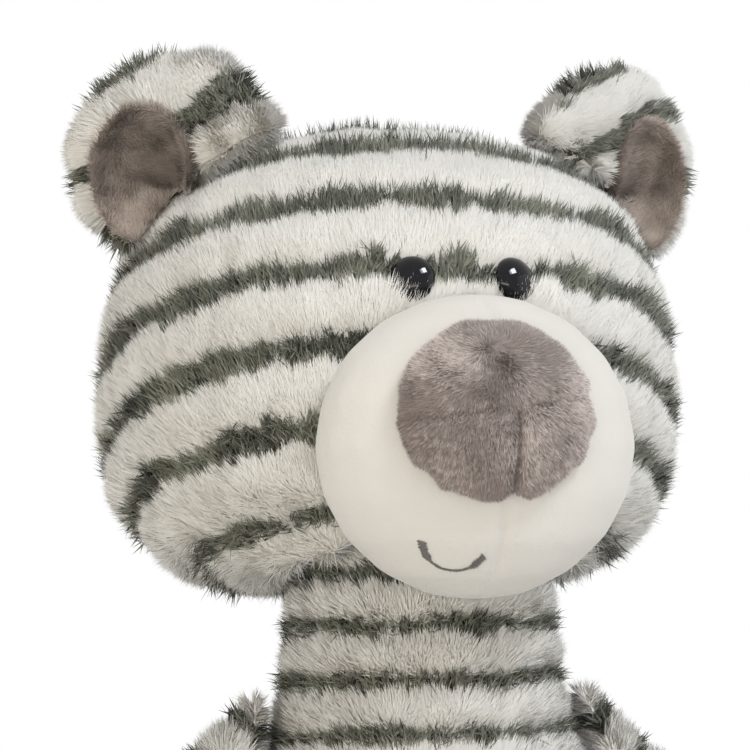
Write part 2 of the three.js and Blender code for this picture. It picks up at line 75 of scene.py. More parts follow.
backward = Vector((
    math.sin(VIEW_AZIMUTH) * math.cos(VIEW_ELEVATION),
    -math.cos(VIEW_AZIMUTH) * math.cos(VIEW_ELEVATION),
    math.sin(VIEW_ELEVATION),
))
camera = bpy.data.objects.new("portrait_camera", bpy.data.cameras.new("portrait_camera"))
camera.data.lens = LENS
camera.data.clip_start = 0.01
camera.location = VIEW_POINT + backward * VIEW_DISTANCE
camera.rotation_euler = (Quaternion(backward, VIEW_ROLL) @ backward.to_track_quat("Z", "Y")).to_euler()
scene.collection.objects.link(camera)
scene.camera = camera
print("camera at", [round(x, 3) for x in camera.location])

# %% [markdown]
# ## Node helpers
# Materials and the pile are built from nodes. A few small helpers place a node with its inputs, do
# arithmetic and make noise, so that the cells below read like the formulas they stand for.

# %% Node helpers
def add_node(tree, kind, inputs=None, **settings):
    made = tree.nodes.new(kind)
    for key, value in settings.items():
        setattr(made, key, value)
    for key, value in (inputs or {}).items():
        if isinstance(value, bpy.types.NodeSocket):
            tree.links.new(value, made.inputs[key])
        else:
            made.inputs[key].default_value = value
    return made


def calc(tree, operation, *values):
    return add_node(tree, "ShaderNodeMath", dict(enumerate(values)), operation=operation).outputs[0]


def calc_vector(tree, operation, *values):
    made = add_node(tree, "ShaderNodeVectorMath", dict(enumerate(values)), operation=operation)
    return made.outputs["Value" if operation in ("DOT_PRODUCT", "LENGTH") else "Vector"]


def scaled(tree, vector, factor):
    return add_node(tree, "ShaderNodeVectorMath", {0: vector, "Scale": factor}, operation="SCALE").outputs[0]


def mixed(tree, factor, first, second):
    return add_node(tree, "ShaderNodeMix", {0: factor, 6: first, 7: second}, data_type="RGBA").outputs[2]


def soft_noise(tree, place, scale, detail, output=0):
    given = {"Vector": place, "Scale": scale, "Detail": detail}
    return add_node(tree, "ShaderNodeTexNoise", given).outputs[output]


def new_group(name, kind, inputs, outputs):
    tree = bpy.data.node_groups.new(name, kind)
    for socket, form, value in inputs:
        made = tree.interface.new_socket(socket, in_out="INPUT", socket_type=form)
        if value is not None:
            made.default_value = value
    for socket, form in outputs:
        tree.interface.new_socket(socket, in_out="OUTPUT", socket_type=form)
    return tree, tree.nodes.new("NodeGroupInput").outputs, tree.nodes.new("NodeGroupOutput").inputs


# %% [markdown]
# ## Where the stripes run
# The cloth is white with dark rows knitted in. Each sewn piece has its rows in its own direction: level
# on the body, tipped up at the front of the head, and round the limbs. A row is a plane at a fixed pitch
# across an axis, bent a little by noise. On the head the rows also fan out downward and towards the back,
# as the cloth was pulled there, and are gathered under the jowl. The same nodes serve the pile and the
# cloth under it, so both change colour at the same place.

# %% Stripes
STRIPE_SOCKETS = [
    ("Middle", "NodeSocketVector", (0, 0, 0)),
    ("Axis", "NodeSocketVector", (0, 0, 1)),
    ("Pitch", "NodeSocketFloat", 18 * MM),
    ("Phase", "NodeSocketFloat", 0.5),
    ("Band", "NodeSocketFloat", 0.3),
    ("Wobble", "NodeSocketFloat", 4 * MM),
    ("Fan", "NodeSocketFloat", 0.0),
]
FAN_BACK = 80 * MM  # the rows fan out no further than this far behind the middle
FAN_DOWN = 45 * MM  # and this far below it
JOWL_DROP = 62 * MM  # further below the middle than this, the cloth is gathered
GATHER = 0.17
WAVE_SCALE = 38.0
UNEVEN_SCALE = 70.0


def stripe_distance(tree, place, rows_of):
    """0 in the middle of a dark row, 1 in the middle of a white one."""
    from_middle = calc_vector(tree, "SUBTRACT", place, rows_of["Middle"])
    height = calc_vector(tree, "DOT_PRODUCT", from_middle, rows_of["Axis"])
    _, back, up = add_node(tree, "ShaderNodeSeparateXYZ", {0: from_middle}).outputs
    behind = calc(tree, "MINIMUM", calc(tree, "MAXIMUM", back, 0.0), FAN_BACK)
    below = calc(tree, "MAXIMUM", calc(tree, "MINIMUM", up, 0.0), -FAN_DOWN)
    fan = calc(tree, "MULTIPLY", calc(tree, "MULTIPLY", behind, below), rows_of["Fan"])
    under_jowl = calc(tree, "MINIMUM", calc(tree, "ADD", up, JOWL_DROP), 0.0)
    gather = calc(tree, "MULTIPLY", under_jowl, calc(tree, "MULTIPLY", rows_of["Fan"], GATHER))
    height = calc(tree, "ADD", calc(tree, "SUBTRACT", height, fan), gather)
    wave = soft_noise(tree, place, WAVE_SCALE, 1.0)
    bent = calc(tree, "MULTIPLY_ADD", calc(tree, "SUBTRACT", wave, 0.5), rows_of["Wobble"], height)
    counted = calc(tree, "ADD", calc(tree, "DIVIDE", bent, rows_of["Pitch"]), rows_of["Phase"])
    turn = calc(tree, "FRACT", counted)
    return calc(tree, "MULTIPLY", calc(tree, "ABSOLUTE", calc(tree, "SUBTRACT", turn, 0.5)), 2.0)


def stripe_mask(tree, place, rows_of, steep):
    """1 in a dark row. Where the cloth lies along the rows, they are narrowed to keep their width."""
    uneven = soft_noise(tree, place, UNEVEN_SCALE, 0.0)
    band = calc(tree, "MULTIPLY", rows_of["Band"], calc(tree, "MULTIPLY_ADD", uneven, 1.6, 0.2))
    return calc(tree, "LESS_THAN", stripe_distance(tree, place, rows_of), calc(tree, "MULTIPLY", band, steep))


# %% [markdown]
# Each part of the bear gets its own rows: where they are counted from, the axis they cross, their pitch in
# millimetres and their phase. The band is the dark share of the pitch.

# %% Rows of each part
def weave(middle, axis, pitch, phase, band=0.37, fan=0.0):
    return {
        "Middle": Vector(middle) * MM,
        "Axis": Vector(axis).normalized(),
        "Pitch": pitch * MM,
        "Phase": phase,
        "Band": band,
        "Wobble": 4 * MM,
        "Fan": fan,
    }


SIDES = {"left": 1, "right": -1}
HEAD_TIP = math.radians(16.6)
ARM_SPREAD = 0.78
LEG_SPLAY = 0.17
head_axis = (0.03, math.sin(HEAD_TIP), math.cos(HEAD_TIP))
head_weave = weave((0, -30, 222), head_axis, 19.2, 0.443, band=0.36, fan=2.9)
body_weave = weave((0, 0, 137), (0, 0.1, 1), 14.2, 0.95)
arm_weaves = {}
leg_weaves = {}
ear_weaves = {}
for side, sign in SIDES.items():
    arm_axis = (sign * math.sin(ARM_SPREAD), 0, -math.cos(ARM_SPREAD))
    leg_axis = (sign * math.sin(LEG_SPLAY), -math.cos(LEG_SPLAY), 0)
    arm_weaves[side] = weave((34 * sign, 0, 109), arm_axis, 16, 0.69)
    leg_weaves[side] = weave((35 * sign, -40, 20), leg_axis, 17, 0.2)
    ear_weaves[side] = weave((63 * sign, 20, 260), (-0.44, 0.12, 0.89), 17.8, 0.1)
print("head rows tip up", round(math.degrees(HEAD_TIP)), "degrees at the face")

# %% [markdown]
# ## Cloth finishes
# A pile's colour runs along each fibre, from a darker root to a paler tip, and differs a little from one
# fibre to the next. The darker root is painted shade, standing for the shade deep in the pile. Every fibre
# has its own place in a UV map: across for its own random number, up for the way from root to tip. A colour
# made from that map alone survives any bake.

# %% Pile finishes
def plain_finish(name, colour, roughness=0.9, **sockets):
    finish = bpy.data.materials.new(name)
    finish.use_nodes = True
    shader = finish.node_tree.nodes["Principled BSDF"]
    shader.inputs["Base Color"].default_value = (*colour, 1)
    shader.inputs["Roughness"].default_value = roughness
    for socket, value in sockets.items():
        shader.inputs[socket.replace("_", " ")].default_value = value
    return finish, finish.node_tree, shader


fibre_tone, tone_in, tone_out = new_group(
    "Fibre tone", "ShaderNodeTree",
    [
        ("Root", "NodeSocketColor", None),
        ("Tip", "NodeSocketColor", None),
        ("Odd", "NodeSocketColor", None),
        ("Odd Share", "NodeSocketFloat", 0.3),
    ],
    [("Color", "NodeSocketColor")],
)
fibre_map = add_node(fibre_tone, "ShaderNodeUVMap", uv_map="OFBake").outputs[0]
fibre_place = add_node(fibre_tone, "ShaderNodeSeparateXYZ", {0: fibre_map}).outputs
# Darker towards the root: painted shade deep in the pile.
grown = mixed(fibre_tone, fibre_place[1], tone_in["Root"], tone_in["Tip"])
odd = calc(fibre_tone, "MULTIPLY", fibre_place[0], tone_in["Odd Share"])
fibre_tone.links.new(mixed(fibre_tone, odd, grown, tone_in["Odd"]), tone_out["Color"])


def pile_finish(name, root, tip, odd_one, share, sheen=0.15):
    finish, tree, shader = plain_finish(name, tip, Sheen_Weight=sheen)
    tone = add_node(tree, "ShaderNodeGroup", node_tree=fibre_tone)
    tone.inputs["Root"].default_value = (*root, 1)
    tone.inputs["Tip"].default_value = (*tip, 1)
    tone.inputs["Odd"].default_value = (*odd_one, 1)
    tone.inputs["Odd Share"].default_value = share
    tree.links.new(tone.outputs[0], shader.inputs["Base Color"])
    return finish


# Each root colour is darker than its tip as painted shade deep in the pile.
white_pile = pile_finish(
    "white_pile", (0.89, 0.875, 0.845), (0.925, 0.912, 0.89), (0.86, 0.84, 0.80), 0.5, sheen=0.35,
)
dark_pile = pile_finish("dark_pile", (0.02, 0.022, 0.017), (0.05, 0.055, 0.042), (0.37, 0.38, 0.30), 0.6)
nose_pile = pile_finish("nose_pile", (0.24, 0.20, 0.185), (0.92, 0.83, 0.80), (0.25, 0.205, 0.19), 0.85)
lining_pile = pile_finish("lining_pile", (0.27, 0.23, 0.20), (0.84, 0.73, 0.66), (0.17, 0.135, 0.12), 0.85)
print("pile finishes:", white_pile.name, dark_pile.name, nose_pile.name, lining_pile.name)

# %% [markdown]
# Under the pile lies the knitted ground, which shows only between the fibres and in the creases. It takes
# the stripes from the same formula, and a fine noise breaks up its colour.

# %% Ground cloth
ground_rows, row_in, row_out = new_group(
    "Ground rows", "ShaderNodeTree", STRIPE_SOCKETS,
    [("Color", "NodeSocketColor"), ("Grain", "NodeSocketFloat")],
)
ground_place = add_node(ground_rows, "ShaderNodeTexCoord").outputs["Object"]
grain = soft_noise(ground_rows, ground_place, 900.0, 2.0)
light_ground = mixed(ground_rows, grain, (0.84, 0.82, 0.78, 1), (0.92, 0.90, 0.86, 1))
dark_ground = mixed(ground_rows, grain, (0.02, 0.022, 0.018, 1), (0.06, 0.065, 0.05, 1))
ground_steep = add_node(ground_rows, "ShaderNodeAttribute", attribute_name="steep").outputs["Fac"]
rows = stripe_mask(ground_rows, ground_place, row_in, ground_steep)
ground_rows.links.new(mixed(ground_rows, rows, light_ground, dark_ground), row_out["Color"])
ground_rows.links.new(grain, row_out["Grain"])


def ground_finish(name, rows_of):
    finish, tree, shader = plain_finish(name, (0.7, 0.67, 0.62), 0.95)
    rows_node = add_node(tree, "ShaderNodeGroup", node_tree=ground_rows)
    for socket, value in rows_of.items():
        rows_node.inputs[socket].default_value = value
    tree.links.new(rows_node.outputs["Color"], shader.inputs["Base Color"])
    knit = add_node(tree, "ShaderNodeBump", {"Height": rows_node.outputs["Grain"], "Distance": 0.4 * MM})
    tree.links.new(knit.outputs[0], shader.inputs["Normal"])
    return finish


# %% [markdown]
# ## Stuffed skins
# The shapes below are kept as plain meshes with nothing left to work out. These helpers turn modifiers into
# mesh, and read, move and paint all points of a piece at once.

# %% Mesh helpers
def settle(piece):
    """Turns the piece's modifiers into its mesh."""
    graph = bpy.context.evaluated_depsgraph_get()
    seen = piece.evaluated_get(graph)
    mesh = bpy.data.meshes.new_from_object(seen, preserve_all_data_layers=True, depsgraph=graph)
    piece.modifiers.clear()
    piece.data = mesh
    mesh.name = piece.name
    return piece


def new_piece(name, shape):
    mesh = bpy.data.meshes.new(name)
    shape.to_mesh(mesh)
    shape.free()
    piece = bpy.data.objects.new(name, mesh)
    scene.collection.objects.link(piece)
    return piece


def read_points(piece, what):
    flat = np.empty(len(piece.data.vertices) * 3)
    piece.data.vertices.foreach_get(what, flat)
    return flat.reshape(-1, 3)


def points_of(piece):
    return read_points(piece, "co")


def normals_of(piece):
    return read_points(piece, "normal")


def paint(piece, name, values):
    layer = piece.data.attributes.get(name) or piece.data.attributes.new(name, "FLOAT", "POINT")
    layer.data.foreach_set("value", np.asarray(values, dtype=np.float32))


def move_points(piece, points):
    piece.data.vertices.foreach_set("co", np.asarray(points).ravel())
    piece.data.update()


# %% [markdown]
# Each padded piece starts as a copy of its CAD solids, joined and remeshed into even small faces. It is
# drawn in by the height of the pile, smoothed, and blown up by a short cloth simulation, which rounds
# the facets the way filling rounds a sewn cover. The movement is capped, so the bear keeps its size.

# %% Stuffing
CLOTH_STEPS = 20
AIR_PRESSURE = 4
SWELL_ROOM = 0.6  # share of the swelling by which a skin starts out smaller


def blow_up(piece, cap):
    """A short cloth simulation with air pressure; no point moves further than the cap."""
    before = points_of(piece)
    cloth = piece.modifiers.new("filling", "CLOTH")
    cloth.settings.quality = 5
    cloth.settings.use_pressure = True
    cloth.settings.uniform_pressure_force = AIR_PRESSURE
    cloth.settings.effector_weights.gravity = 0
    for step in range(1, CLOTH_STEPS + 1):
        scene.frame_set(step)
    settle(piece)
    scene.frame_set(1)
    move = points_of(piece) - before
    far = np.linalg.norm(move, axis=1, keepdims=True)
    move_points(piece, before + move * np.minimum(1, cap / np.maximum(far, 1e-9)))


def stuffed(name, nodes, voxel, inset, swell, rounds=5):
    """A padded skin round CAD solids. The voxel, the inset and the swelling are in millimetres."""
    shape = bmesh.new()
    for node_name in nodes:
        shape.from_mesh(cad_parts[node_name].data)
    bmesh.ops.remove_doubles(shape, verts=shape.verts[:], dist=0.01 * MM)
    piece = new_piece(name, shape)
    remesh = piece.modifiers.new("even faces", "REMESH")
    remesh.mode = "VOXEL"
    remesh.voxel_size = voxel * MM
    settle(piece)
    drawn_in = piece.modifiers.new("height of the pile", "DISPLACE")
    drawn_in.strength = -(inset + swell * SWELL_ROOM) * MM
    drawn_in.mid_level = 0
    smooth = piece.modifiers.new("round", "SMOOTH")
    smooth.iterations = rounds
    settle(piece)
    blow_up(piece, swell * MM)
    finer = piece.modifiers.new("finer", "SUBSURF")
    finer.levels = finer.render_levels = 1
    settle(piece)
    piece.data.shade_smooth()
    print(name, len(piece.data.polygons), "faces")
    return piece


# %% [markdown]
# The fleece is knitted with long loops, so every white row puffs out like a roll and the dark rows lie in
# the valleys between. A small Geometry Nodes group lifts a skin along its normals by the same stripe
# formula, and a noise adds the small lumps of washed fleece.

# %% Rolls
LUMP_SCALE = 105.0
rolls, roll_in, roll_out = new_group(
    "Rolls", "GeometryNodeTree",
    [("Skin", "NodeSocketGeometry", None), ("Puff", "NodeSocketFloat", 3 * MM), *STRIPE_SOCKETS],
    [("Skin", "NodeSocketGeometry")],
)
roll_place = add_node(rolls, "GeometryNodeInputPosition").outputs[0]
roll_normal = add_node(rolls, "GeometryNodeInputNormal").outputs[0]
roll_shape = add_node(
    rolls, "ShaderNodeMapRange",
    {
        "Value": stripe_distance(rolls, roll_place, roll_in),
        "From Min": 0.05, "From Max": 0.85, "To Min": -0.6, "To Max": 0.4,
    },
    interpolation_type="SMOOTHSTEP",
).outputs[0]
lump = soft_noise(rolls, roll_place, LUMP_SCALE, 0.0)
roll_shape = calc(rolls, "ADD", roll_shape, calc(rolls, "MULTIPLY_ADD", lump, 1.1, -0.55))
roll_lift = scaled(rolls, roll_normal, calc(rolls, "MULTIPLY", roll_shape, roll_in["Puff"]))
lifted = {"Geometry": roll_in["Skin"], "Offset": roll_lift}
rolls.links.new(add_node(rolls, "GeometryNodeSetPosition", lifted).outputs[0], roll_out["Skin"])


def sockets_of(group):
    return {item.name: item.identifier for item in group.interface.items_tree if item.in_out == "INPUT"}


def puff_rows(skin, rows_of, height):
    """Lifts the white rows, and paints how steeply the cloth crosses the rows."""
    relief = skin.modifiers.new("rolls", "NODES")
    relief.node_group = rolls
    for key, value in {"Puff": height, **rows_of}.items():
        relief[sockets_of(rolls)[key]] = value
    settle(skin)
    skin.data.shade_smooth()
    along_rows = np.abs(normals_of(skin) @ np.array(rows_of["Axis"]))
    paint(skin, "steep", np.clip(np.sqrt(1 - np.minimum(along_rows, 1) ** 2), 0.3, 1))


# %% [markdown]
# The skins are named for the bear's parts. A voxel of 5 mm suits the head and the body; the ears need
# smaller ones. Muzzle and nose have no long pile to hide under, so they get fine meshes too.

# %% Sew the skins
PUFF = 2.2 * MM
EAR_PUFF = 2 * MM

head_skin = stuffed("head_skin", ["head_front_panel", "head_back_panel", "head_stuffing"], 5, 4.1, 2)
body_skin = stuffed(
    "body_skin",
    ["torso_front_panel", "torso_back_panel", "seat_panel", "torso_stuffing", "seat_pellet_bag", "neck_wad"],
    5, 4, 2,
)
muzzle_skin = stuffed("muzzle_skin", ["muzzle_cover", "muzzle_stuffing"], 2.4, 0, 1.5)
nose_skin = stuffed(
    "nose_skin", ["nose_top_panel", "nose_left_panel", "nose_right_panel", "nose_stuffing"], 1.6, -1.0, 1,
    rounds=24,
)
arm_skins = {}
leg_skins = {}
ear_skins = {}
for side in SIDES:
    arm_skins[side] = stuffed(f"arm_{side}_skin", [f"arm_{side}_cover", f"arm_{side}_stuffing"], 4, 3.5, 1.5)
    leg_skins[side] = stuffed(
        f"leg_{side}_skin", [f"leg_{side}_cover", f"leg_{side}_stuffing", f"leg_{side}_sole"], 4, 3.5, 1.5,
    )
    ear_skins[side] = stuffed(f"ear_{side}_skin", [f"ear_{side}_back", f"ear_{side}_lining"], 2.4, 3, 1)
    puff_rows(arm_skins[side], arm_weaves[side], PUFF)
    puff_rows(leg_skins[side], leg_weaves[side], PUFF)
    puff_rows(ear_skins[side], ear_weaves[side], EAR_PUFF)
puff_rows(head_skin, head_weave, PUFF)
puff_rows(body_skin, body_weave, PUFF)

# %% [markdown]
# The wad in the neck carries the head and turns with it. It stays under the cloth, so it is a plain stuffed
# form in loose white filling.

# %% Neck filling
neck_core = stuffed("neck_core", ["neck_wad"], 2, 1, 0.5)
neck_core.data.materials.append(plain_finish("loose_filling", (0.85, 0.84, 0.80), 0.95)[0])
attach(neck_core, "neck")
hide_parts("neck_wad")

# %% [markdown]
# ## Growing the pile
# There are two kinds of fibre. The white pile and the velour are so fine that one fibre is a single slim
# triangle, and very many of them melt together. The dark yarn is coarser: a blade of two faces that bows
# outward and ends in a point. Both are one unit long and wide, and every copy is scaled.

# %% Two fibres
def new_fibre(name, outline, faces):
    shape = bmesh.new()
    dots = [shape.verts.new(spot) for spot in outline]
    for corners in faces:
        shape.faces.new([dots[corner] for corner in corners])
    return new_piece(name, shape)


BOW = 1.4
fine_fibre = new_fibre("fine_fibre", [(-0.5, 0, 0), (0, 0, 1), (0.5, 0, 0)], [(0, 1, 2)])
yarn_fibre = new_fibre(
    "yarn_fibre", [(-0.5, 0, 0), (-0.42, BOW, 0.55), (0.42, BOW, 0.55), (0.5, 0, 0), (0, 0, 1)],
    [(0, 1, 2, 3), (1, 4, 2)],
)
print("points in a fibre:", len(fine_fibre.data.vertices), "and", len(yarn_fibre.data.vertices))

# %% [markdown]
# One Geometry Nodes group grows every pile on the bear. First it strews points over a skin. The numbers for
# cover, height and shade are painted on the skin's points, so the pile can be short round the eyes and
# absent under the muzzle.

# %% Strew the roots
pile_inputs = [
    ("Skin", "NodeSocketGeometry", None),
    ("Density", "NodeSocketFloat", 1e6),
    ("Length", "NodeSocketFloat", 8 * MM),
    ("Width", "NodeSocketFloat", 0.4 * MM),
    ("Scatter", "NodeSocketFloat", 0.4),
    ("Clump", "NodeSocketFloat", 0.9),
    ("Clump Scale", "NodeSocketFloat", 170.0),
    ("Seed", "NodeSocketInt", 0),
    ("Dark", "NodeSocketFloat", 0.0),
    ("Fibre", "NodeSocketObject", None),
    *STRIPE_SOCKETS,
]
pile, pile_in, pile_out = new_group("Pile", "GeometryNodeTree", pile_inputs, [("Pile", "NodeSocketGeometry")])


def painted(name, kind="FLOAT"):
    return add_node(pile, "GeometryNodeInputNamedAttribute", {"Name": name}, data_type=kind).outputs[0]


def chance(low, high, seed):
    salt = calc(pile, "ADD", pile_in["Seed"], float(seed))
    return add_node(pile, "FunctionNodeRandomValue", {2: low, 3: high, 8: salt}, data_type="FLOAT").outputs[1]


place = add_node(pile, "GeometryNodeInputPosition").outputs[0]
strewn = add_node(
    pile, "GeometryNodeDistributePointsOnFaces",
    {
        "Mesh": pile_in["Skin"],
        "Density": calc(pile, "MULTIPLY", pile_in["Density"], painted("cover")),
        "Seed": pile_in["Seed"],
    },
)
lot = add_node(
    pile, "FunctionNodeRandomValue",
    {0: (-1, -1, -1), 1: (1, 1, 1), 8: pile_in["Seed"]}, data_type="FLOAT_VECTOR",
).outputs[0]

# %% [markdown]
# A fibre stands on its skin's normal. It leans by chance, by a noise that pulls neighbours into tufts and by
# the way its piece was combed, and its bowed face is turned outward.

# %% Lean and turn the fibres
HALF = (0.5, 0.5, 0.5)
tuft = soft_noise(pile, place, pile_in["Clump Scale"], 0.0, "Color")
pull = calc(pile, "MULTIPLY", pile_in["Clump"], 2.0)
tuft_pull = scaled(pile, calc_vector(pile, "SUBTRACT", tuft, HALF), pull)
lean = calc_vector(pile, "ADD", strewn.outputs["Normal"], scaled(pile, lot, pile_in["Scatter"]))
combed = painted("comb", "FLOAT_VECTOR")
lean = calc_vector(pile, "ADD", calc_vector(pile, "ADD", lean, tuft_pull), combed)
upright = add_node(pile, "FunctionNodeAlignRotationToVector", {"Vector": lean}, axis="Z").outputs[0]
faced = add_node(
    pile, "FunctionNodeAlignRotationToVector", {"Rotation": upright, "Vector": strewn.outputs["Normal"]},
    axis="Y", pivot_axis="Z",
).outputs[0]
twist = {"Axis": (0, 0, 1), "Angle": chance(-0.8, 0.8, 3)}
roll = add_node(pile, "FunctionNodeAxisAngleToRotation", twist).outputs[0]
turned = add_node(pile, "FunctionNodeRotateRotation", {0: faced, 1: roll}, rotation_space="LOCAL").outputs[0]

# %% [markdown]
# Only the fibres in the rows asked for are kept. The edge of a row is ragged, because tufts near it are taken
# for the other side. Each fibre gets a width and a height of its own.

# %% Choose the rows and the size
RAGGED_SCALE = 320.0
RAGGED_EDGE = 7 * MM
STRAY = 0.6 * MM
edge = soft_noise(pile, place, RAGGED_SCALE, 0.0, "Color")
edge_pull = scaled(pile, calc_vector(pile, "SUBTRACT", edge, HALF), RAGGED_EDGE)
ragged = calc_vector(pile, "ADD", calc_vector(pile, "ADD", place, edge_pull), scaled(pile, lot, STRAY))
in_dark_row = stripe_mask(pile, ragged, pile_in, painted("steep"))
row_choice = calc(pile, "COMPARE", in_dark_row, pile_in["Dark"], 0.5)
thick = calc(pile, "MULTIPLY", pile_in["Width"], chance(0.75, 1.25, 5))
tall = calc(pile, "MULTIPLY", pile_in["Length"], painted("height"))
tall = calc(pile, "MULTIPLY", tall, chance(0.7, 1.15, 7))
size = add_node(pile, "ShaderNodeCombineXYZ", {0: thick, 1: thick, 2: tall}).outputs[0]

# %% [markdown]
# The fibres are stood on their roots and made real mesh. Before that, each root keeps its random number and
# the normal of the skin, and the fibre keeps the way from root to tip. The UV map is put together from
# these, a little wider than a line, so that no fibre has an empty place in it. Last, what would reach
# through the floor is laid flat on it.

# %% Stand the fibres up
FLOOR_GAP = 0.3 * MM


def store(geometry, name, value, **settings):
    given = {"Geometry": geometry, "Name": name, "Value": value}
    return add_node(pile, "GeometryNodeStoreNamedAttribute", given, **settings).outputs[0]


blade = add_node(pile, "GeometryNodeObjectInfo", {"Object": pile_in["Fibre"]}).outputs["Geometry"]
rise = add_node(pile, "ShaderNodeSeparateXYZ", {0: place}).outputs[2]
corner = add_node(pile, "GeometryNodeInputIndex").outputs[0]
blade = store(blade, "along", rise, data_type="FLOAT", domain="POINT")
blade = store(blade, "flank", calc(pile, "MULTIPLY", corner, 0.1), data_type="FLOAT", domain="POINT")
strand = calc(pile, "ADD", chance(0.0, 1.0, 11), painted("shade"))
strand = calc(pile, "MINIMUM", calc(pile, "MAXIMUM", strand, 0.0), 1.0)
rooted = store(strewn.outputs["Points"], "strand", strand, data_type="FLOAT", domain="POINT")
rooted = store(rooted, "ground", strewn.outputs["Normal"], data_type="FLOAT_VECTOR", domain="POINT")
standing = add_node(
    pile, "GeometryNodeInstanceOnPoints",
    {"Points": rooted, "Selection": row_choice, "Instance": blade, "Rotation": turned, "Scale": size},
).outputs[0]
standing = add_node(pile, "GeometryNodeRealizeInstances", {0: standing}).outputs[0]
across = calc(pile, "MULTIPLY_ADD", painted("flank"), 0.06, calc(pile, "MULTIPLY", painted("strand"), 0.95))
upward = calc(pile, "MULTIPLY_ADD", painted("flank"), 0.08, calc(pile, "MULTIPLY", painted("along"), 0.9))
fibre_uv = add_node(pile, "ShaderNodeCombineXYZ", {0: across, 1: upward}).outputs[0]
standing = store(standing, "OFBake", fibre_uv, data_type="FLOAT2", domain="CORNER")
spot_x, spot_y, spot_z = add_node(pile, "ShaderNodeSeparateXYZ", {0: place}).outputs
spot_z = calc(pile, "MAXIMUM", spot_z, FLOOR_GAP)
above_floor = add_node(pile, "ShaderNodeCombineXYZ", {0: spot_x, 1: spot_y, 2: spot_z}).outputs[0]
laid = {"Geometry": standing, "Position": above_floor}
pile.links.new(add_node(pile, "GeometryNodeSetPosition", laid).outputs[0], pile_out["Pile"])
pile_sockets = sockets_of(pile)
print("pile group with", len(pile.nodes), "nodes")


# %% [markdown]
# A pile is grown on a copy of its skin and kept as a mesh. A piece has to stay under 200,000 triangles, so a
# large skin is grown in portions. Their covers add up to one along the shared edge, and no line shows.

# %% Grow
def soften(piece, softness):
    """Shades each fibre partly like the skin it stands on, as fine pile lets the light through."""
    ground = np.empty(len(piece.data.vertices) * 3, dtype=np.float32)
    piece.data.attributes["ground"].data.foreach_get("vector", ground)
    both = normals_of(piece) * (1 - softness) + ground.reshape(-1, 3) * softness
    both /= np.maximum(np.linalg.norm(both, axis=1, keepdims=True), 1e-6)
    piece.data.normals_split_custom_set_from_vertices(both.tolist())


def grow(name, skin, finish, cover, height, comb, softness=0.88, shade=0.0, **choices):
    piece = bpy.data.objects.new(name, skin.data.copy())
    scene.collection.objects.link(piece)
    paint(piece, "cover", cover)
    paint(piece, "height", np.broadcast_to(height, len(cover)))
    paint(piece, "shade", np.broadcast_to(shade, len(cover)))
    combing = np.broadcast_to(np.asarray(comb, dtype=np.float32), (len(cover), 3))
    piece.data.attributes.new("comb", "FLOAT_VECTOR", "POINT").data.foreach_set("vector", combing.ravel())
    growth = piece.modifiers.new("pile", "NODES")
    growth.node_group = pile
    for key, value in {"Fibre": fine_fibre, **choices}.items():
        growth[pile_sockets[key]] = value
    settle(piece)
    piece.data.materials.clear()
    piece.data.materials.append(finish)
    piece.data.shade_smooth()
    soften(piece, softness)
    for key in ("cover", "height", "shade", "comb", "along", "flank", "strand", "ground", "steep"):
        layer = piece.data.attributes.get(key)
        if layer:
            piece.data.attributes.remove(layer)
    piece.data.calc_loop_triangles()
    print(name, len(piece.data.loop_triangles), "triangles")
    return piece


# %% [markdown]
# Cover, height and shade are worked out with a few measures: how deep a point lies in another skin, a soft
# noise, and a smooth step from one distance to another.

# %% Measures for the pile
def surface_of(piece):
    mesh = piece.data
    return BVHTree.FromPolygons([v.co for v in mesh.vertices], [p.vertices[:] for p in mesh.polygons])


def depth_in(points, other):
    """How deep each point lies inside another skin, in metres; outside is negative."""
    surface = surface_of(other)
    ray = Vector((0.31, 0.17, 0.94)).normalized()
    depths = np.empty(len(points))
    for i, point in enumerate(points):
        distance = surface.find_nearest(Vector(point))[3]
        crossings = 0
        hit = surface.ray_cast(Vector(point), ray)[0]
        while hit is not None:
            crossings += 1
            hit = surface.ray_cast(hit + ray * 0.01 * MM, ray)[0]
        depths[i] = distance if crossings % 2 else -distance
    return depths


def clouds(points, size):
    """A soft noise between about -0.5 and 0.5 whose clouds have the given size in metres."""
    return 0.7 * np.array([noise.noise(Vector(point) / size) for point in points])


def fade(values, start, end):
    """0 at start, 1 at end, smooth between."""
    share = np.clip((values - start) / (end - start), 0, 1)
    return share * share * (3 - 2 * share)


# %% [markdown]
# ## Eyes
# The eyes are domed black buttons. The CAD eye gives the place and the direction; the new one is spun from
# a finer outline, so that no facet shows in its reflections. The axis of a turned solid is the one
# direction whose spread differs from the other two. The thread that holds an eye pulls it into the pile and
# turns it a little outward.

# %% Eye finish and place
eye_gloss, eye_tree, eye_shader = plain_finish(
    "eye_gloss", (0.004, 0.004, 0.006), 0.06, Specular_IOR_Level=0.25,
)
eye_place = add_node(eye_tree, "ShaderNodeTexCoord").outputs["Object"]
smear = soft_noise(eye_tree, eye_place, 500.0, 3.0)
eye_rough = calc(eye_tree, "MULTIPLY_ADD", smear, 0.05, 0.03)
eye_tree.links.new(eye_rough, eye_shader.inputs["Roughness"])


def eye_frame(node_name):
    """The middle of the eye's rim and the direction it looks in."""
    spots = points_of(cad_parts[node_name])
    middle = spots.mean(0)
    spread, directions = np.linalg.eigh(np.cov((spots - middle).T))
    odd_one = int(np.argmax(np.abs(spread - np.median(spread))))
    axis = Vector(directions[:, odd_one])
    if axis.y > 0:
        axis.negate()
    along = (spots - middle) @ np.array(axis)
    wide = np.linalg.norm((spots - middle) - along[:, None] * np.array(axis), axis=1)
    rim = along[wide > 0.95 * wide.max()].min()
    return Vector(middle) + axis * rim, axis


# %% [markdown]
# The outline of a button runs up its stem, out under its rim and over the dome in a quarter of an ellipse.
# It is spun once round and moved to its place.

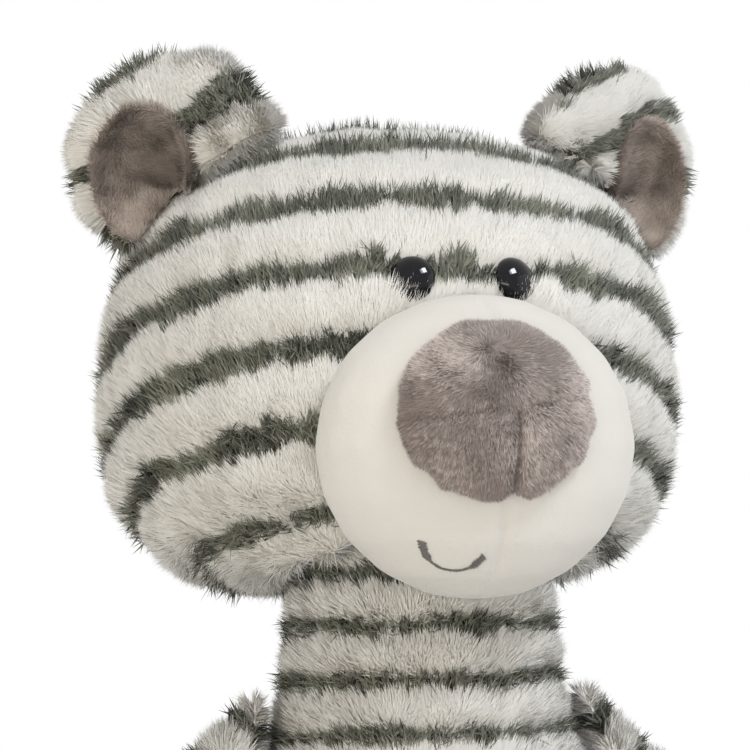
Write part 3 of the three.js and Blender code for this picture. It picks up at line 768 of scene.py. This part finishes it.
# %% Eyes
EYE_RADIUS = 6.2 * MM
EYE_DOME = 5.0 * MM
EYE_EDGE = 0.9 * MM
EYE_TURN = 0.3
EYE_SINK = 4 * MM
STEM_RADIUS = 1.6 * MM
STEM_LENGTH = 8 * MM
DOME_STEPS = 12
eye_outline = [(STEM_RADIUS, -STEM_LENGTH), (STEM_RADIUS, 0), (0.9 * EYE_RADIUS, -0.2 * MM)]
for step in range(DOME_STEPS + 1):
    angle = step / DOME_STEPS * math.pi / 2
    dome_height = EYE_EDGE + (EYE_DOME - EYE_EDGE) * math.sin(angle)
    eye_outline.append((EYE_RADIUS * math.cos(angle), dome_height))

eye_spots = {}
for side, sign in SIDES.items():
    spot, axis = eye_frame(f"eye_{side}")
    spot = spot - axis * EYE_SINK
    axis = Quaternion((0, 0, 1), sign * EYE_TURN) @ axis
    eye_spots[side] = spot
    shape = bmesh.new()
    dots = [shape.verts.new((max(r, 0.001 * MM), 0, z)) for r, z in eye_outline]
    edges = [shape.edges.new(pair) for pair in zip(dots, dots[1:])]
    bmesh.ops.spin(
        shape, geom=dots + edges, cent=(0, 0, 0), axis=(0, 0, 1), angle=2 * math.pi, steps=40, use_merge=True,
    )
    bmesh.ops.remove_doubles(shape, verts=shape.verts[:], dist=0.01 * MM)
    bmesh.ops.holes_fill(shape, edges=shape.edges[:], sides=0)
    bmesh.ops.recalc_face_normals(shape, faces=shape.faces[:])
    place_eye = Matrix.Translation(spot) @ axis.to_track_quat("Z", "Y").to_matrix().to_4x4()
    bmesh.ops.transform(shape, matrix=place_eye, verts=shape.verts[:])
    eye = new_piece(f"eye_{side}_button", shape)
    eye.data.shade_smooth()
    eye.data.materials.append(eye_gloss)
    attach(eye, "head")
    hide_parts(f"eye_{side}", f"eye_washer_{side}")
    print(f"eye_{side} at", [round(x / MM, 1) for x in spot])

# %% [markdown]
# ## Head pile
# The head carries the longest pile. White and dark rows are separate pieces, because each has its own finish.
# Dark fibres are longer, coarser and stand more apart. The pile is left out under the muzzle and the eyes and
# inside the neck, kept short next to muzzle and eyes, and strewn thinner at the back.

# %% Kinds of pile
def portions(points):
    """Shares of a skin that add up to one: front left, front right, back left, back right."""
    left = fade(points[:, 0], -2 * MM, 2 * MM)
    front = fade(-points[:, 1], -30 * MM, -16 * MM)
    return {
        "front_left": front * left,
        "front_right": front * (1 - left),
        "back_left": (1 - front) * left,
        "back_right": (1 - front) * (1 - left),
    }


WHITE = {"Length": 5.6 * MM, "Width": 0.46 * MM, "Scatter": 0.25, "Clump": 0.45, "Clump Scale": 170.0}
DARK = {
    "Length": 7.5 * MM, "Width": 0.55 * MM, "Scatter": 0.5, "Clump": 0.9, "Clump Scale": 320.0,
    "Dark": 1.0, "Fibre": yarn_fibre,
}
DARK_SHARE = 0.22  # dark fibres for each white one that would stand in the same place
TONES = (("white", WHITE, white_pile, 1.0), ("dark", DARK, dark_pile, DARK_SHARE))

# %% [markdown]
# All fibres of the head are combed upward. Those below the eyes reach over the lower edge of the buttons, the
# white ones on the crown are short so that the dark row there stands out, and those under the jowl hang free.

# %% Cover and height of the head pile
head_points = points_of(head_skin)
in_muzzle = depth_in(head_points, muzzle_skin)
in_body = depth_in(head_points, body_skin)
eye_gaps = [np.linalg.norm(head_points - np.array(spot), axis=1) for spot in eye_spots.values()]
eye_gap = np.min(eye_gaps, axis=0)
head_cover = fade(-in_muzzle, -0.5 * MM, 1.5 * MM) * fade(-in_body, 0, 3 * MM)
head_cover *= fade(eye_gap, 5.5 * MM, 7.5 * MM)
below_eyes = fade(eye_spots["left"].z - head_points[:, 2], 3 * MM, 7 * MM)
below_eyes = below_eyes * fade(-eye_gap, -18 * MM, -12 * MM)
eye_room = np.maximum(0.4 + 0.6 * fade(eye_gap, 6 * MM, 13 * MM), 2.0 * below_eyes)
head_height = (0.6 + 0.4 * fade(-in_muzzle, 0, 9 * MM)) * eye_room
crown = fade(head_points[:, 2], 256 * MM, 264 * MM)
jowl = fade(-head_points[:, 2], -154 * MM, -145 * MM)
head_heights = {
    "white": head_height * (1 - 0.3 * crown) * (1 + 0.1 * jowl),
    "dark": head_height * (1 + 0.25 * crown) * (1 + 0.3 * jowl),
}
head_comb = np.outer(1.0 - 0.6 * jowl, head_weave["Axis"])
head_clouds = clouds(head_points, 14 * MM)
print("share of the head that carries pile:", round(head_cover.mean(), 2))

# %% [markdown]
# The head is grown in four portions, each with its white and its dark pile. The skin itself gets the striped
# ground cloth.

# %% Head pile
HEAD_DENSITY = {"front": 15e6, "back": 7.2e6}
head_piles = []
for zone, share in portions(head_points).items():
    half = zone.split("_")[0]
    for tone, choices, finish, thinned in TONES:
        piece = grow(
            f"head_{zone}_{tone}_pile", head_skin, finish, head_cover * share, head_heights[tone], head_comb,
            shade=head_clouds, Density=HEAD_DENSITY[half] * thinned, Seed=len(head_piles),
            **choices, **head_weave,
        )
        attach(piece, "head")
        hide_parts(f"head_{half}_panel")
        head_piles.append(piece)

head_skin.data.materials.append(ground_finish("head_ground", head_weave))
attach(head_skin, "head")
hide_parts("head_stuffing")

# %% [markdown]
# ## Body
# The same pile, a little thinner, covers the body and the limbs. It is shorter and thinner still where the
# bear sits on the floor, and thins out below the chest.

# %% Body pile
def coat(name, skin, cover, height, comb, density, rows_of, seed):
    """White and dark pile on one skin."""
    made = []
    for tone, choices, finish, thinned in TONES:
        piece = grow(
            f"{name}_{tone}_pile", skin, finish, cover, height, comb,
            Density=density * thinned, Seed=seed, **choices, **rows_of,
        )
        made.append(piece)
    return made


def resting(skin):
    """Less and shorter pile where the bear sits on the floor."""
    points = points_of(skin)
    under = fade(-normals_of(skin)[:, 2], 0.5, 0.9) * fade(-points[:, 2], -9 * MM, -5 * MM)
    return 1 - 0.75 * under, 1 - 0.7 * under


BODY_DENSITY = 10e6
BODY_COMB = (0, 0, 0.7)
body_points = points_of(body_skin)
floor_cover, floor_height = resting(body_skin)
body_cover = fade(-depth_in(body_points, head_skin), -1 * MM, 3 * MM) * floor_cover
body_cover *= 0.5 + 0.5 * fade(body_points[:, 2], 70 * MM, 100 * MM)
body_shares = portions(body_points)
for zone in ("front", "back"):
    zone_cover = body_cover * (body_shares[f"{zone}_left"] + body_shares[f"{zone}_right"])
    zone_piles = coat(
        f"body_{zone}", body_skin, zone_cover, floor_height, BODY_COMB, BODY_DENSITY, body_weave, 31,
    )
    for piece in zone_piles:
        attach(piece, "torso")
        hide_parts(f"torso_{zone}_panel")
body_skin.data.materials.append(ground_finish("body_ground", body_weave))
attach(body_skin, "torso")
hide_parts("seat_panel", "torso_stuffing", "seat_pellet_bag")

# %% [markdown]
# ## Arms and legs
# The limbs' skins and pile are kept in place as plain meshes and are not hung on a joint. The pile is combed
# back towards the body, and the sole is a pad of short velour.

# %% Arms and legs
ARM_DENSITY = 7.8e6
LEG_DENSITY = 7.2e6
LIMB_COMB = -0.6


def outside_body(skin):
    return fade(-depth_in(points_of(skin), body_skin), -3 * MM, 1 * MM)


def sew_on(limb, skin, pieces, pads, rows_of):
    """Gives a limb's skin its ground cloth, hides the solids it stands for and bakes its pieces in place."""
    skin.data.materials.append(ground_finish(f"{limb}_ground", rows_of))
    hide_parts(f"{limb}_cover")
    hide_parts(f"{limb}_stuffing")
    for piece in [skin, *pads, *pieces]:
        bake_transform(piece)


for side, sign in SIDES.items():
    limb = f"arm_{side}"
    skin = arm_skins[side]
    rows_of = arm_weaves[side]
    back_comb = rows_of["Axis"] * LIMB_COMB
    pieces = coat(limb, skin, outside_body(skin), 1.0, back_comb, ARM_DENSITY, rows_of, 41 + sign)
    sew_on(limb, skin, pieces, [], rows_of)

    limb = f"leg_{side}"
    skin = leg_skins[side]
    rows_of = leg_weaves[side]
    back_comb = rows_of["Axis"] * LIMB_COMB
    floor_cover, floor_height = resting(skin)
    from_hip = (points_of(skin) - np.array(rows_of["Middle"])) @ np.array(rows_of["Axis"])
    facing_out = fade(normals_of(skin) @ np.array(rows_of["Axis"]), 0.35, 0.65)
    on_sole = facing_out * fade(from_hip, 96 * MM, 101 * MM)
    leg_cover = outside_body(skin) * floor_cover * (1 - on_sole)
    pieces = coat(limb, skin, leg_cover, floor_height, back_comb, LEG_DENSITY, rows_of, 51 + sign)
    sole = grow(
        f"{limb}_sole_pile", skin, lining_pile, on_sole, 1.0, (0, 0, -0.6), softness=0.5,
        shade=clouds(points_of(skin), 12 * MM), Density=18e6, Length=3.6 * MM, Width=0.27 * MM,
        Scatter=0.25, Clump=0.5, Seed=57 + sign, Band=0.0,
    )
    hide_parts(f"{limb}_sole")
    sew_on(limb, skin, pieces, [sole], rows_of)

# %% [markdown]
# ## Ears
# An ear is a thick cup of the striped cloth, and its hollow is lined with short brown-grey velour. Where the
# ear was folded and sewn down, a crease runs through the lining towards the head. Cup and lining are pushed
# back along it together.

# %% Ear creases
CREASE_DROP = 8 * MM
CREASE_WIDTH = 2.6 * MM
CREASE_DEPTH = 6 * MM


def over_crease(spots, side):
    """Height above the crease of an ear."""
    return spots[:, 2] - ear_weaves[side]["Middle"].z + CREASE_DROP


def near_head(spots, side, start, end):
    """0 on the outer side of an ear, 1 on the side next to the head."""
    return fade(-SIDES[side] * (spots[:, 0] - ear_weaves[side]["Middle"].x), start, end)


linings = {}
for side in SIDES:
    linings[side] = stuffed(f"ear_{side}_lining_cloth", [f"ear_{side}_lining"], 0.9, -0.2, 0.3, rounds=3)
    for piece in (ear_skins[side], linings[side]):
        spots = points_of(piece)
        crease = np.exp(-((over_crease(spots, side) / CREASE_WIDTH) ** 2))
        towards_head = near_head(spots, side, -14 * MM, 4 * MM)
        facing = fade(-normals_of(piece)[:, 1], -0.2, 0.3)
        spots[:, 1] += CREASE_DEPTH * crease * towards_head * facing
        move_points(piece, spots)

# %% [markdown]
# The long pile is left out inside the hollow. It stands outward all round the cup, and on the side next to
# the head it falls over the lining's edge.

# %% Ear pile
EAR_DENSITY = 22e6
EAR_HEIGHT = 0.95
for side, sign in SIDES.items():
    skin = ear_skins[side]
    spots = points_of(skin)
    hollow = depth_in(spots, linings[side])
    ear_cover = fade(-depth_in(spots, head_skin), -1 * MM, 2 * MM) * fade(-hollow, 2 * MM, 4 * MM)
    outward = spots - spots.mean(0)
    outward = 0.85 * outward / np.linalg.norm(outward, axis=1, keepdims=True)
    inner_front = near_head(spots, side, -4 * MM, 4 * MM) * fade(-normals_of(skin)[:, 1], 0.2, 0.6)
    outward += inner_front[:, None] * np.array([1.3 * sign, -0.2, 0.0])
    ear_piles = coat(
        f"ear_{side}", skin, ear_cover, EAR_HEIGHT, outward, EAR_DENSITY, ear_weaves[side], 61 + sign,
    )
    for piece in ear_piles:
        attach(piece, "head")
    skin.data.materials.append(ground_finish(f"ear_{side}_ground", ear_weaves[side]))
    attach(skin, "head")
    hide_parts(f"ear_{side}_back")

# %% [markdown]
# The lining's nap gets painted shade in and above the crease, most on the side next to the head, and painted
# light below it. Its tone also differs at random in small clouds.

# %% Ear linings
for side, sign in SIDES.items():
    lining = linings[side]
    spots = points_of(lining)
    facing = fade(-normals_of(lining)[:, 1], 0.1, 0.4)
    above = over_crease(spots, side)
    towards_head = near_head(spots, side, -12 * MM, 6 * MM)
    # Painted shade in the fold, darkest in the crease and towards the head, and painted light below the
    # crease.
    in_fold = np.exp(-(((above - 2 * MM) / (3.5 * MM)) ** 2)) + 0.45 * fade(above, 0, 4 * MM)
    shadow = 1.2 * in_fold * (0.1 + 0.9 * towards_head) - 0.6 * fade(-above, 1 * MM, 5 * MM)
    velour = grow(
        f"ear_{side}_lining_pile", lining, lining_pile, facing, 1.0, (0.25 * sign, 0, 0.5), softness=0.3,
        shade=shadow + 0.5 * clouds(spots, 6 * MM), Density=30e6, Length=2.6 * MM, Width=0.2 * MM,
        Scatter=0.25, Clump=0.6, Seed=71 + sign, Band=0.0,
    )
    for piece in (lining, velour):
        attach(piece, "head")
    lining.data.materials.append(lining_pile)
    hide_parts(f"ear_{side}_lining")

# %% [markdown]
# ## Muzzle
# The muzzle is sewn from smooth white velour with so short a nap that it reads as a soft matt surface. Fine
# noise in colour and bump stands for the nap, and sheen lifts the edges.

# %% Muzzle finish
muzzle_velour, velour_tree, velour_shader = plain_finish(
    "muzzle_velour", (0.84, 0.81, 0.76), 0.85, Sheen_Weight=0.25, Sheen_Roughness=0.4,
)
velour_place = add_node(velour_tree, "ShaderNodeTexCoord").outputs["Object"]
nap = soft_noise(velour_tree, velour_place, 1500.0, 2.0)
cloud = soft_noise(velour_tree, velour_place, 45.0, 3.0)
velour_tone = mixed(velour_tree, cloud, (0.645, 0.622, 0.59, 1), (0.70, 0.682, 0.657, 1))
nap_share = calc(velour_tree, "MULTIPLY", nap, 0.25)
velour_tone = mixed(velour_tree, nap_share, velour_tone, (0.62, 0.59, 0.54, 1))
velour_tree.links.new(velour_tone, velour_shader.inputs["Base Color"])
nap_relief = {"Height": nap, "Strength": 0.35, "Distance": 0.3 * MM}
nap_bump = add_node(velour_tree, "ShaderNodeBump", nap_relief).outputs[0]
velour_tree.links.new(nap_bump, velour_shader.inputs["Normal"])

# %% [markdown]
# One seam runs down the middle of the muzzle below the nose. It is a shallow groove in the mesh.

# %% Muzzle
SEAM_DEPTH = 0.8 * MM
SEAM_WIDTH = 1.2 * MM
muzzle_points = points_of(muzzle_skin)
below_nose = fade(muzzle_points[:, 2], 147 * MM, 153 * MM) * fade(-normals_of(muzzle_skin)[:, 1], 0.2, 0.5)
seam_groove = SEAM_DEPTH * np.exp(-((muzzle_points[:, 0] / SEAM_WIDTH) ** 2)) * below_nose
move_points(muzzle_skin, muzzle_points - normals_of(muzzle_skin) * seam_groove[:, None])
print("muzzle seam drawn in by", round(seam_groove.max() / MM, 2), "mm")
muzzle_skin.data.materials.append(muzzle_velour)
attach(muzzle_skin, "head")
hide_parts("muzzle_cover", "muzzle_stuffing")

# %% [markdown]
# ## Nose
# Three panels of brushed velour are sewn into the nose. A point is next to a seam where it is almost as near
# to a second panel as to the first. The upright seam is drawn in deep, and the level one hardly at all.

# %% Nose seams
UPRIGHT_SEAM_DEPTH = 2.2 * MM
LEVEL_SEAM_DEPTH = 0.4 * MM


def gap_to(points, node_name):
    surface = surface_of(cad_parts[node_name])
    return np.array([surface.find_nearest(Vector(point))[3] for point in points])


nose_points = points_of(nose_skin)
gaps = np.array([gap_to(nose_points, f"nose_{panel}_panel") for panel in ("top", "left", "right")])
nearest_two = np.sort(gaps, axis=0)[:2]
beside_seam = fade(nearest_two[1] - nearest_two[0], 0.2 * MM, 1.8 * MM)
nose_out = -depth_in(nose_points, muzzle_skin)
off_muzzle = fade(nose_out, 0.2 * MM, 1 * MM)
off_rim = fade(nose_out, 1 * MM, 5 * MM)
upright_seam = np.argmax(gaps, axis=0) == 0
seam_depth = np.where(upright_seam, UPRIGHT_SEAM_DEPTH, LEVEL_SEAM_DEPTH)
groove_depth = seam_depth * (1 - beside_seam) * off_rim
move_points(nose_skin, nose_points - normals_of(nose_skin) * groove_depth[:, None])
print("nose seams drawn in by up to", round(groove_depth.max() / MM, 2), "mm")

# %% [markdown]
# The nap of the top panel is brushed down and out from the middle, and that of the lower two down, so the
# seams show as a change of direction. Small tufts differ in tone at random. Painted shade darkens the nap
# next to the rim, where the nose rounds away, and along the deep upright seam, and a few patches of painted
# sheen and painted shade make it paler or darker. Each patch has a place and a radius in millimetres and an
# amount.

# %% Nose nap
# Patches of painted sheen (amount below zero) and painted shade (amount above zero).
SHEEN_AND_SHADE_PATCHES = [
    (-16, 205, 8, -0.7), (-3, 208, 7, 0.8), (10, 207, 8, 0.5), (-8, 198, 7, 0.6),
    (-25, 195, 6, 0.6), (19, 194, 6, -0.4), (-16, 183, 9, 0.4),
]
TUFT_CONTRAST = 1.7
on_top = fade(np.minimum(gaps[1], gaps[2]) - gaps[0], -0.4 * MM, 0.4 * MM)
on_left = fade(gaps[2] - gaps[1], -0.4 * MM, 0.4 * MM)
brow = np.array([nose_points[:, 0].mean(), nose_points[:, 1].min(), nose_points[:, 2].max()])
from_brow = nose_points - brow
from_brow = 0.9 * from_brow / np.maximum(np.linalg.norm(from_brow, axis=1, keepdims=True), 1e-6)
# Random tone in clouds, and painted shade along the upright seam.
nose_tone_and_shade = 1.1 * clouds(nose_points, 11 * MM) + 0.5 * upright_seam * (1 - beside_seam)
# Painted shade next to the rim, and random tufts of tone.
nose_tone_and_shade += 0.45 * (1 - fade(nose_out, 1 * MM, 8 * MM)) + TUFT_CONTRAST * clouds(nose_points, 0.9 * MM)
for x, z, radius, darker in SHEEN_AND_SHADE_PATCHES:
    away = np.hypot(nose_points[:, 0] - x * MM, nose_points[:, 2] - z * MM)
    nose_tone_and_shade += darker * np.exp(-((away / (radius * MM)) ** 2))
# The last number of each panel is its painted shade.
nose_panels = {
    "top": (on_top, from_brow, 0.0),
    "left": ((1 - on_top) * on_left, (0.3, 0.0, -0.9), -0.15),
    "right": ((1 - on_top) * (1 - on_left), (-0.3, 0.0, -0.9), 0.2),
}
nap_height = (1 - 0.5 * (1 - beside_seam) * off_rim) * (0.75 + 0.25 * off_rim)
from_centre = (nose_points - nose_points.mean(0)) * np.array([1, 0, 1])
from_centre /= np.maximum(np.linalg.norm(from_centre, axis=1, keepdims=True), 1e-6)
over_rim = 0.9 * from_centre * (1 - off_rim)[:, None]

# %% [markdown]
# Each panel's pile is a piece of its own, with its own direction and its own painted shade, darker on the
# right panel and paler on the left. Next to the rim every fibre also leans outward, over the edge where the
# nose meets the muzzle.

# %% Nose pile
for panel, (share, comb, shadow) in nose_panels.items():
    piece = grow(
        f"nose_{panel}_pile", nose_skin, nose_pile, share * off_muzzle, nap_height, comb + over_rim,
        softness=0.4, shade=nose_tone_and_shade + shadow, Density=27e6, Length=2.5 * MM, Width=0.27 * MM,
        Scatter=0.25, Clump=0.6, Seed=81, Band=0.0,
    )
    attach(piece, "head")
    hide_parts(f"nose_{panel}_panel")
nose_skin.data.materials.append(nose_pile)
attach(nose_skin, "head")
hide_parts("nose_stuffing")

# %% [markdown]
# ## Mouth
# The smile is embroidered in satin stitch: short threads laid side by side across a line, wide at both ends
# of the smile and narrow in its middle. The line comes from the rings of points of the CAD stitch, sorted
# round a point above the smile, and then smoothed.

# %% Line of the mouth
RINGS = 9
THREADS = 70
SMOOTHING = 13
sewn = points_of(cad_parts["mouth_stitch"])
smile_top = sewn[:, 2].max() + 1 * MM
smile_middle = (sewn[:, 0].min() + sewn[:, 0].max()) / 2
around = np.arctan2(sewn[:, 2] - smile_top, sewn[:, 0] - smile_middle)
rings = np.array_split(sewn[np.argsort(around)], RINGS)
line = np.array([ring.mean(0) for ring in rings])
steps = np.linspace(0, RINGS - 1, THREADS)
line = np.array([np.interp(steps, np.arange(RINGS), line[:, axis]) for axis in range(3)]).T
padded_line = np.pad(line, ((SMOOTHING // 2, SMOOTHING // 2), (0, 0)), "edge")
even = np.ones(SMOOTHING) / SMOOTHING
line = np.array([np.convolve(padded_line[:, axis], even, "valid") for axis in range(3)]).T

# %% [markdown]
# Each thread is a slim ellipsoid that lies on the muzzle, a little aslant to the line. Its length varies from
# thread to thread, as stitches do.

# %% Mouth
THREAD_WIDTH = 0.16 * MM
THREAD_HEIGHT = 0.36 * MM
LIFT = 0.2  # millimetres above the muzzle
thread_finish = plain_finish("grey_thread", (0.14, 0.135, 0.13), 0.55, Sheen_Weight=0.3)[0]
muzzle_surface = BVHTree.FromObject(muzzle_skin, bpy.context.evaluated_depsgraph_get())
dice = np.random.default_rng(7)
shape = bmesh.new()
for i, spot in enumerate(line):
    on_muzzle, out, _, _ = muzzle_surface.find_nearest(Vector(spot))
    onward = Vector(line[min(i + 1, THREADS - 1)] - line[max(i - 1, 0)]).normalized()
    across = (out.cross(onward) + onward * 0.35).normalized()
    along_line = i / (THREADS - 1)
    ends = max(fade(along_line, 0.32, 0.2), fade(along_line, 0.72, 0.82))
    wide = (0.4 + 0.75 * ends) * MM * dice.uniform(0.7, 1.25)
    turn = Matrix((across, out.cross(across), out)).transposed().to_4x4()
    stretch = Matrix.Diagonal((wide, THREAD_WIDTH, THREAD_HEIGHT, 1))
    lay = Matrix.Translation(on_muzzle + out * LIFT * MM) @ turn @ stretch
    bmesh.ops.create_icosphere(shape, subdivisions=2, radius=1, matrix=lay)
mouth = new_piece("mouth_satin_stitch", shape)
mouth.data.materials.append(thread_finish)
mouth.data.shade_smooth()
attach(mouth, "head")
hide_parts("mouth_stitch")
print("threads in the smile:", len(line))

# %% [markdown]
# ## Light, floor and backdrop
# A bright window stands high on the right, a long low lamp fills from the left, and a pale wall and world
# light the rest. The fill shows in the eyes as a cream band, and a lamp that lights nothing but shiny things
# gives them a white patch.

# %% Lamps
def soft_lamp(name, place_at, target, size_of, power, tint=(1, 1, 1)):
    lamp = bpy.data.objects.new(name, bpy.data.lights.new(name, "AREA"))
    lamp.data.shape = "RECTANGLE"
    lamp.data.size, lamp.data.size_y = size_of
    lamp.data.energy = power
    lamp.data.color = tint
    lamp.location = place_at
    lamp.rotation_euler = (Vector(place_at) - Vector(target)).to_track_quat("Z", "Y").to_euler()
    scene.collection.objects.link(lamp)
    return lamp


CHEST = (0, 0, 0.18)
FACE = (0, 0, 0.22)
soft_lamp("window", (0.30, -0.75, 1.0), CHEST, (0.36, 0.28), 4.6, (0.93, 0.97, 1))
soft_lamp("fill", (-0.65, -0.92, 0.1), CHEST, (1.2, 0.2), 4.8, (1, 0.91, 0.75))
soft_lamp("wall", (0.95, -0.45, 0.3), CHEST, (0.9, 0.9), 1.6, (0.93, 0.97, 1))
eye_light = soft_lamp("eye_light", (0.42, -0.62, 1.0), FACE, (0.34, 0.3), 14, (0.95, 0.98, 1))
eye_light.visible_diffuse = False

# %% [markdown]
# The background is white to the camera and in mirrors, so that it adds no light to the cloth. The floor is a
# pale disc, which isn't part of the bear.

# %% World and floor
world = bpy.data.worlds.new("pale_room")
world.use_nodes = True
scene.world = world
sky_tree = world.node_tree
sky = sky_tree.nodes["Background"]
sky.inputs["Color"].default_value = (0.665, 0.653, 0.627, 1)
sky.inputs["Strength"].default_value = 1
white = add_node(sky_tree, "ShaderNodeBackground", {"Color": (1, 1, 1, 1), "Strength": 1.0}).outputs[0]
rays = add_node(sky_tree, "ShaderNodeLightPath").outputs
direct = calc(sky_tree, "MAXIMUM", rays["Is Camera Ray"], rays["Is Transmission Ray"])
direct = calc(sky_tree, "MAXIMUM", direct, rays["Is Glossy Ray"])
shown = add_node(sky_tree, "ShaderNodeMixShader", {0: direct, 1: sky.outputs[0], 2: white}).outputs[0]
sky_tree.links.new(shown, sky_tree.nodes["World Output"].inputs["Surface"])

shape = bmesh.new()
bmesh.ops.create_circle(shape, cap_ends=True, segments=96, radius=0.6)
floor = new_piece("floor", shape)
floor.data.materials.append(plain_finish("pale_floor", (0.86, 0.86, 0.86))[0])

# %% [markdown]
# ## Clean up
# The two fibre shapes served only as patterns for the pile, so they are removed.

# %% Finish
bpy.data.objects.remove(fine_fibre)
bpy.data.objects.remove(yarn_fibre)
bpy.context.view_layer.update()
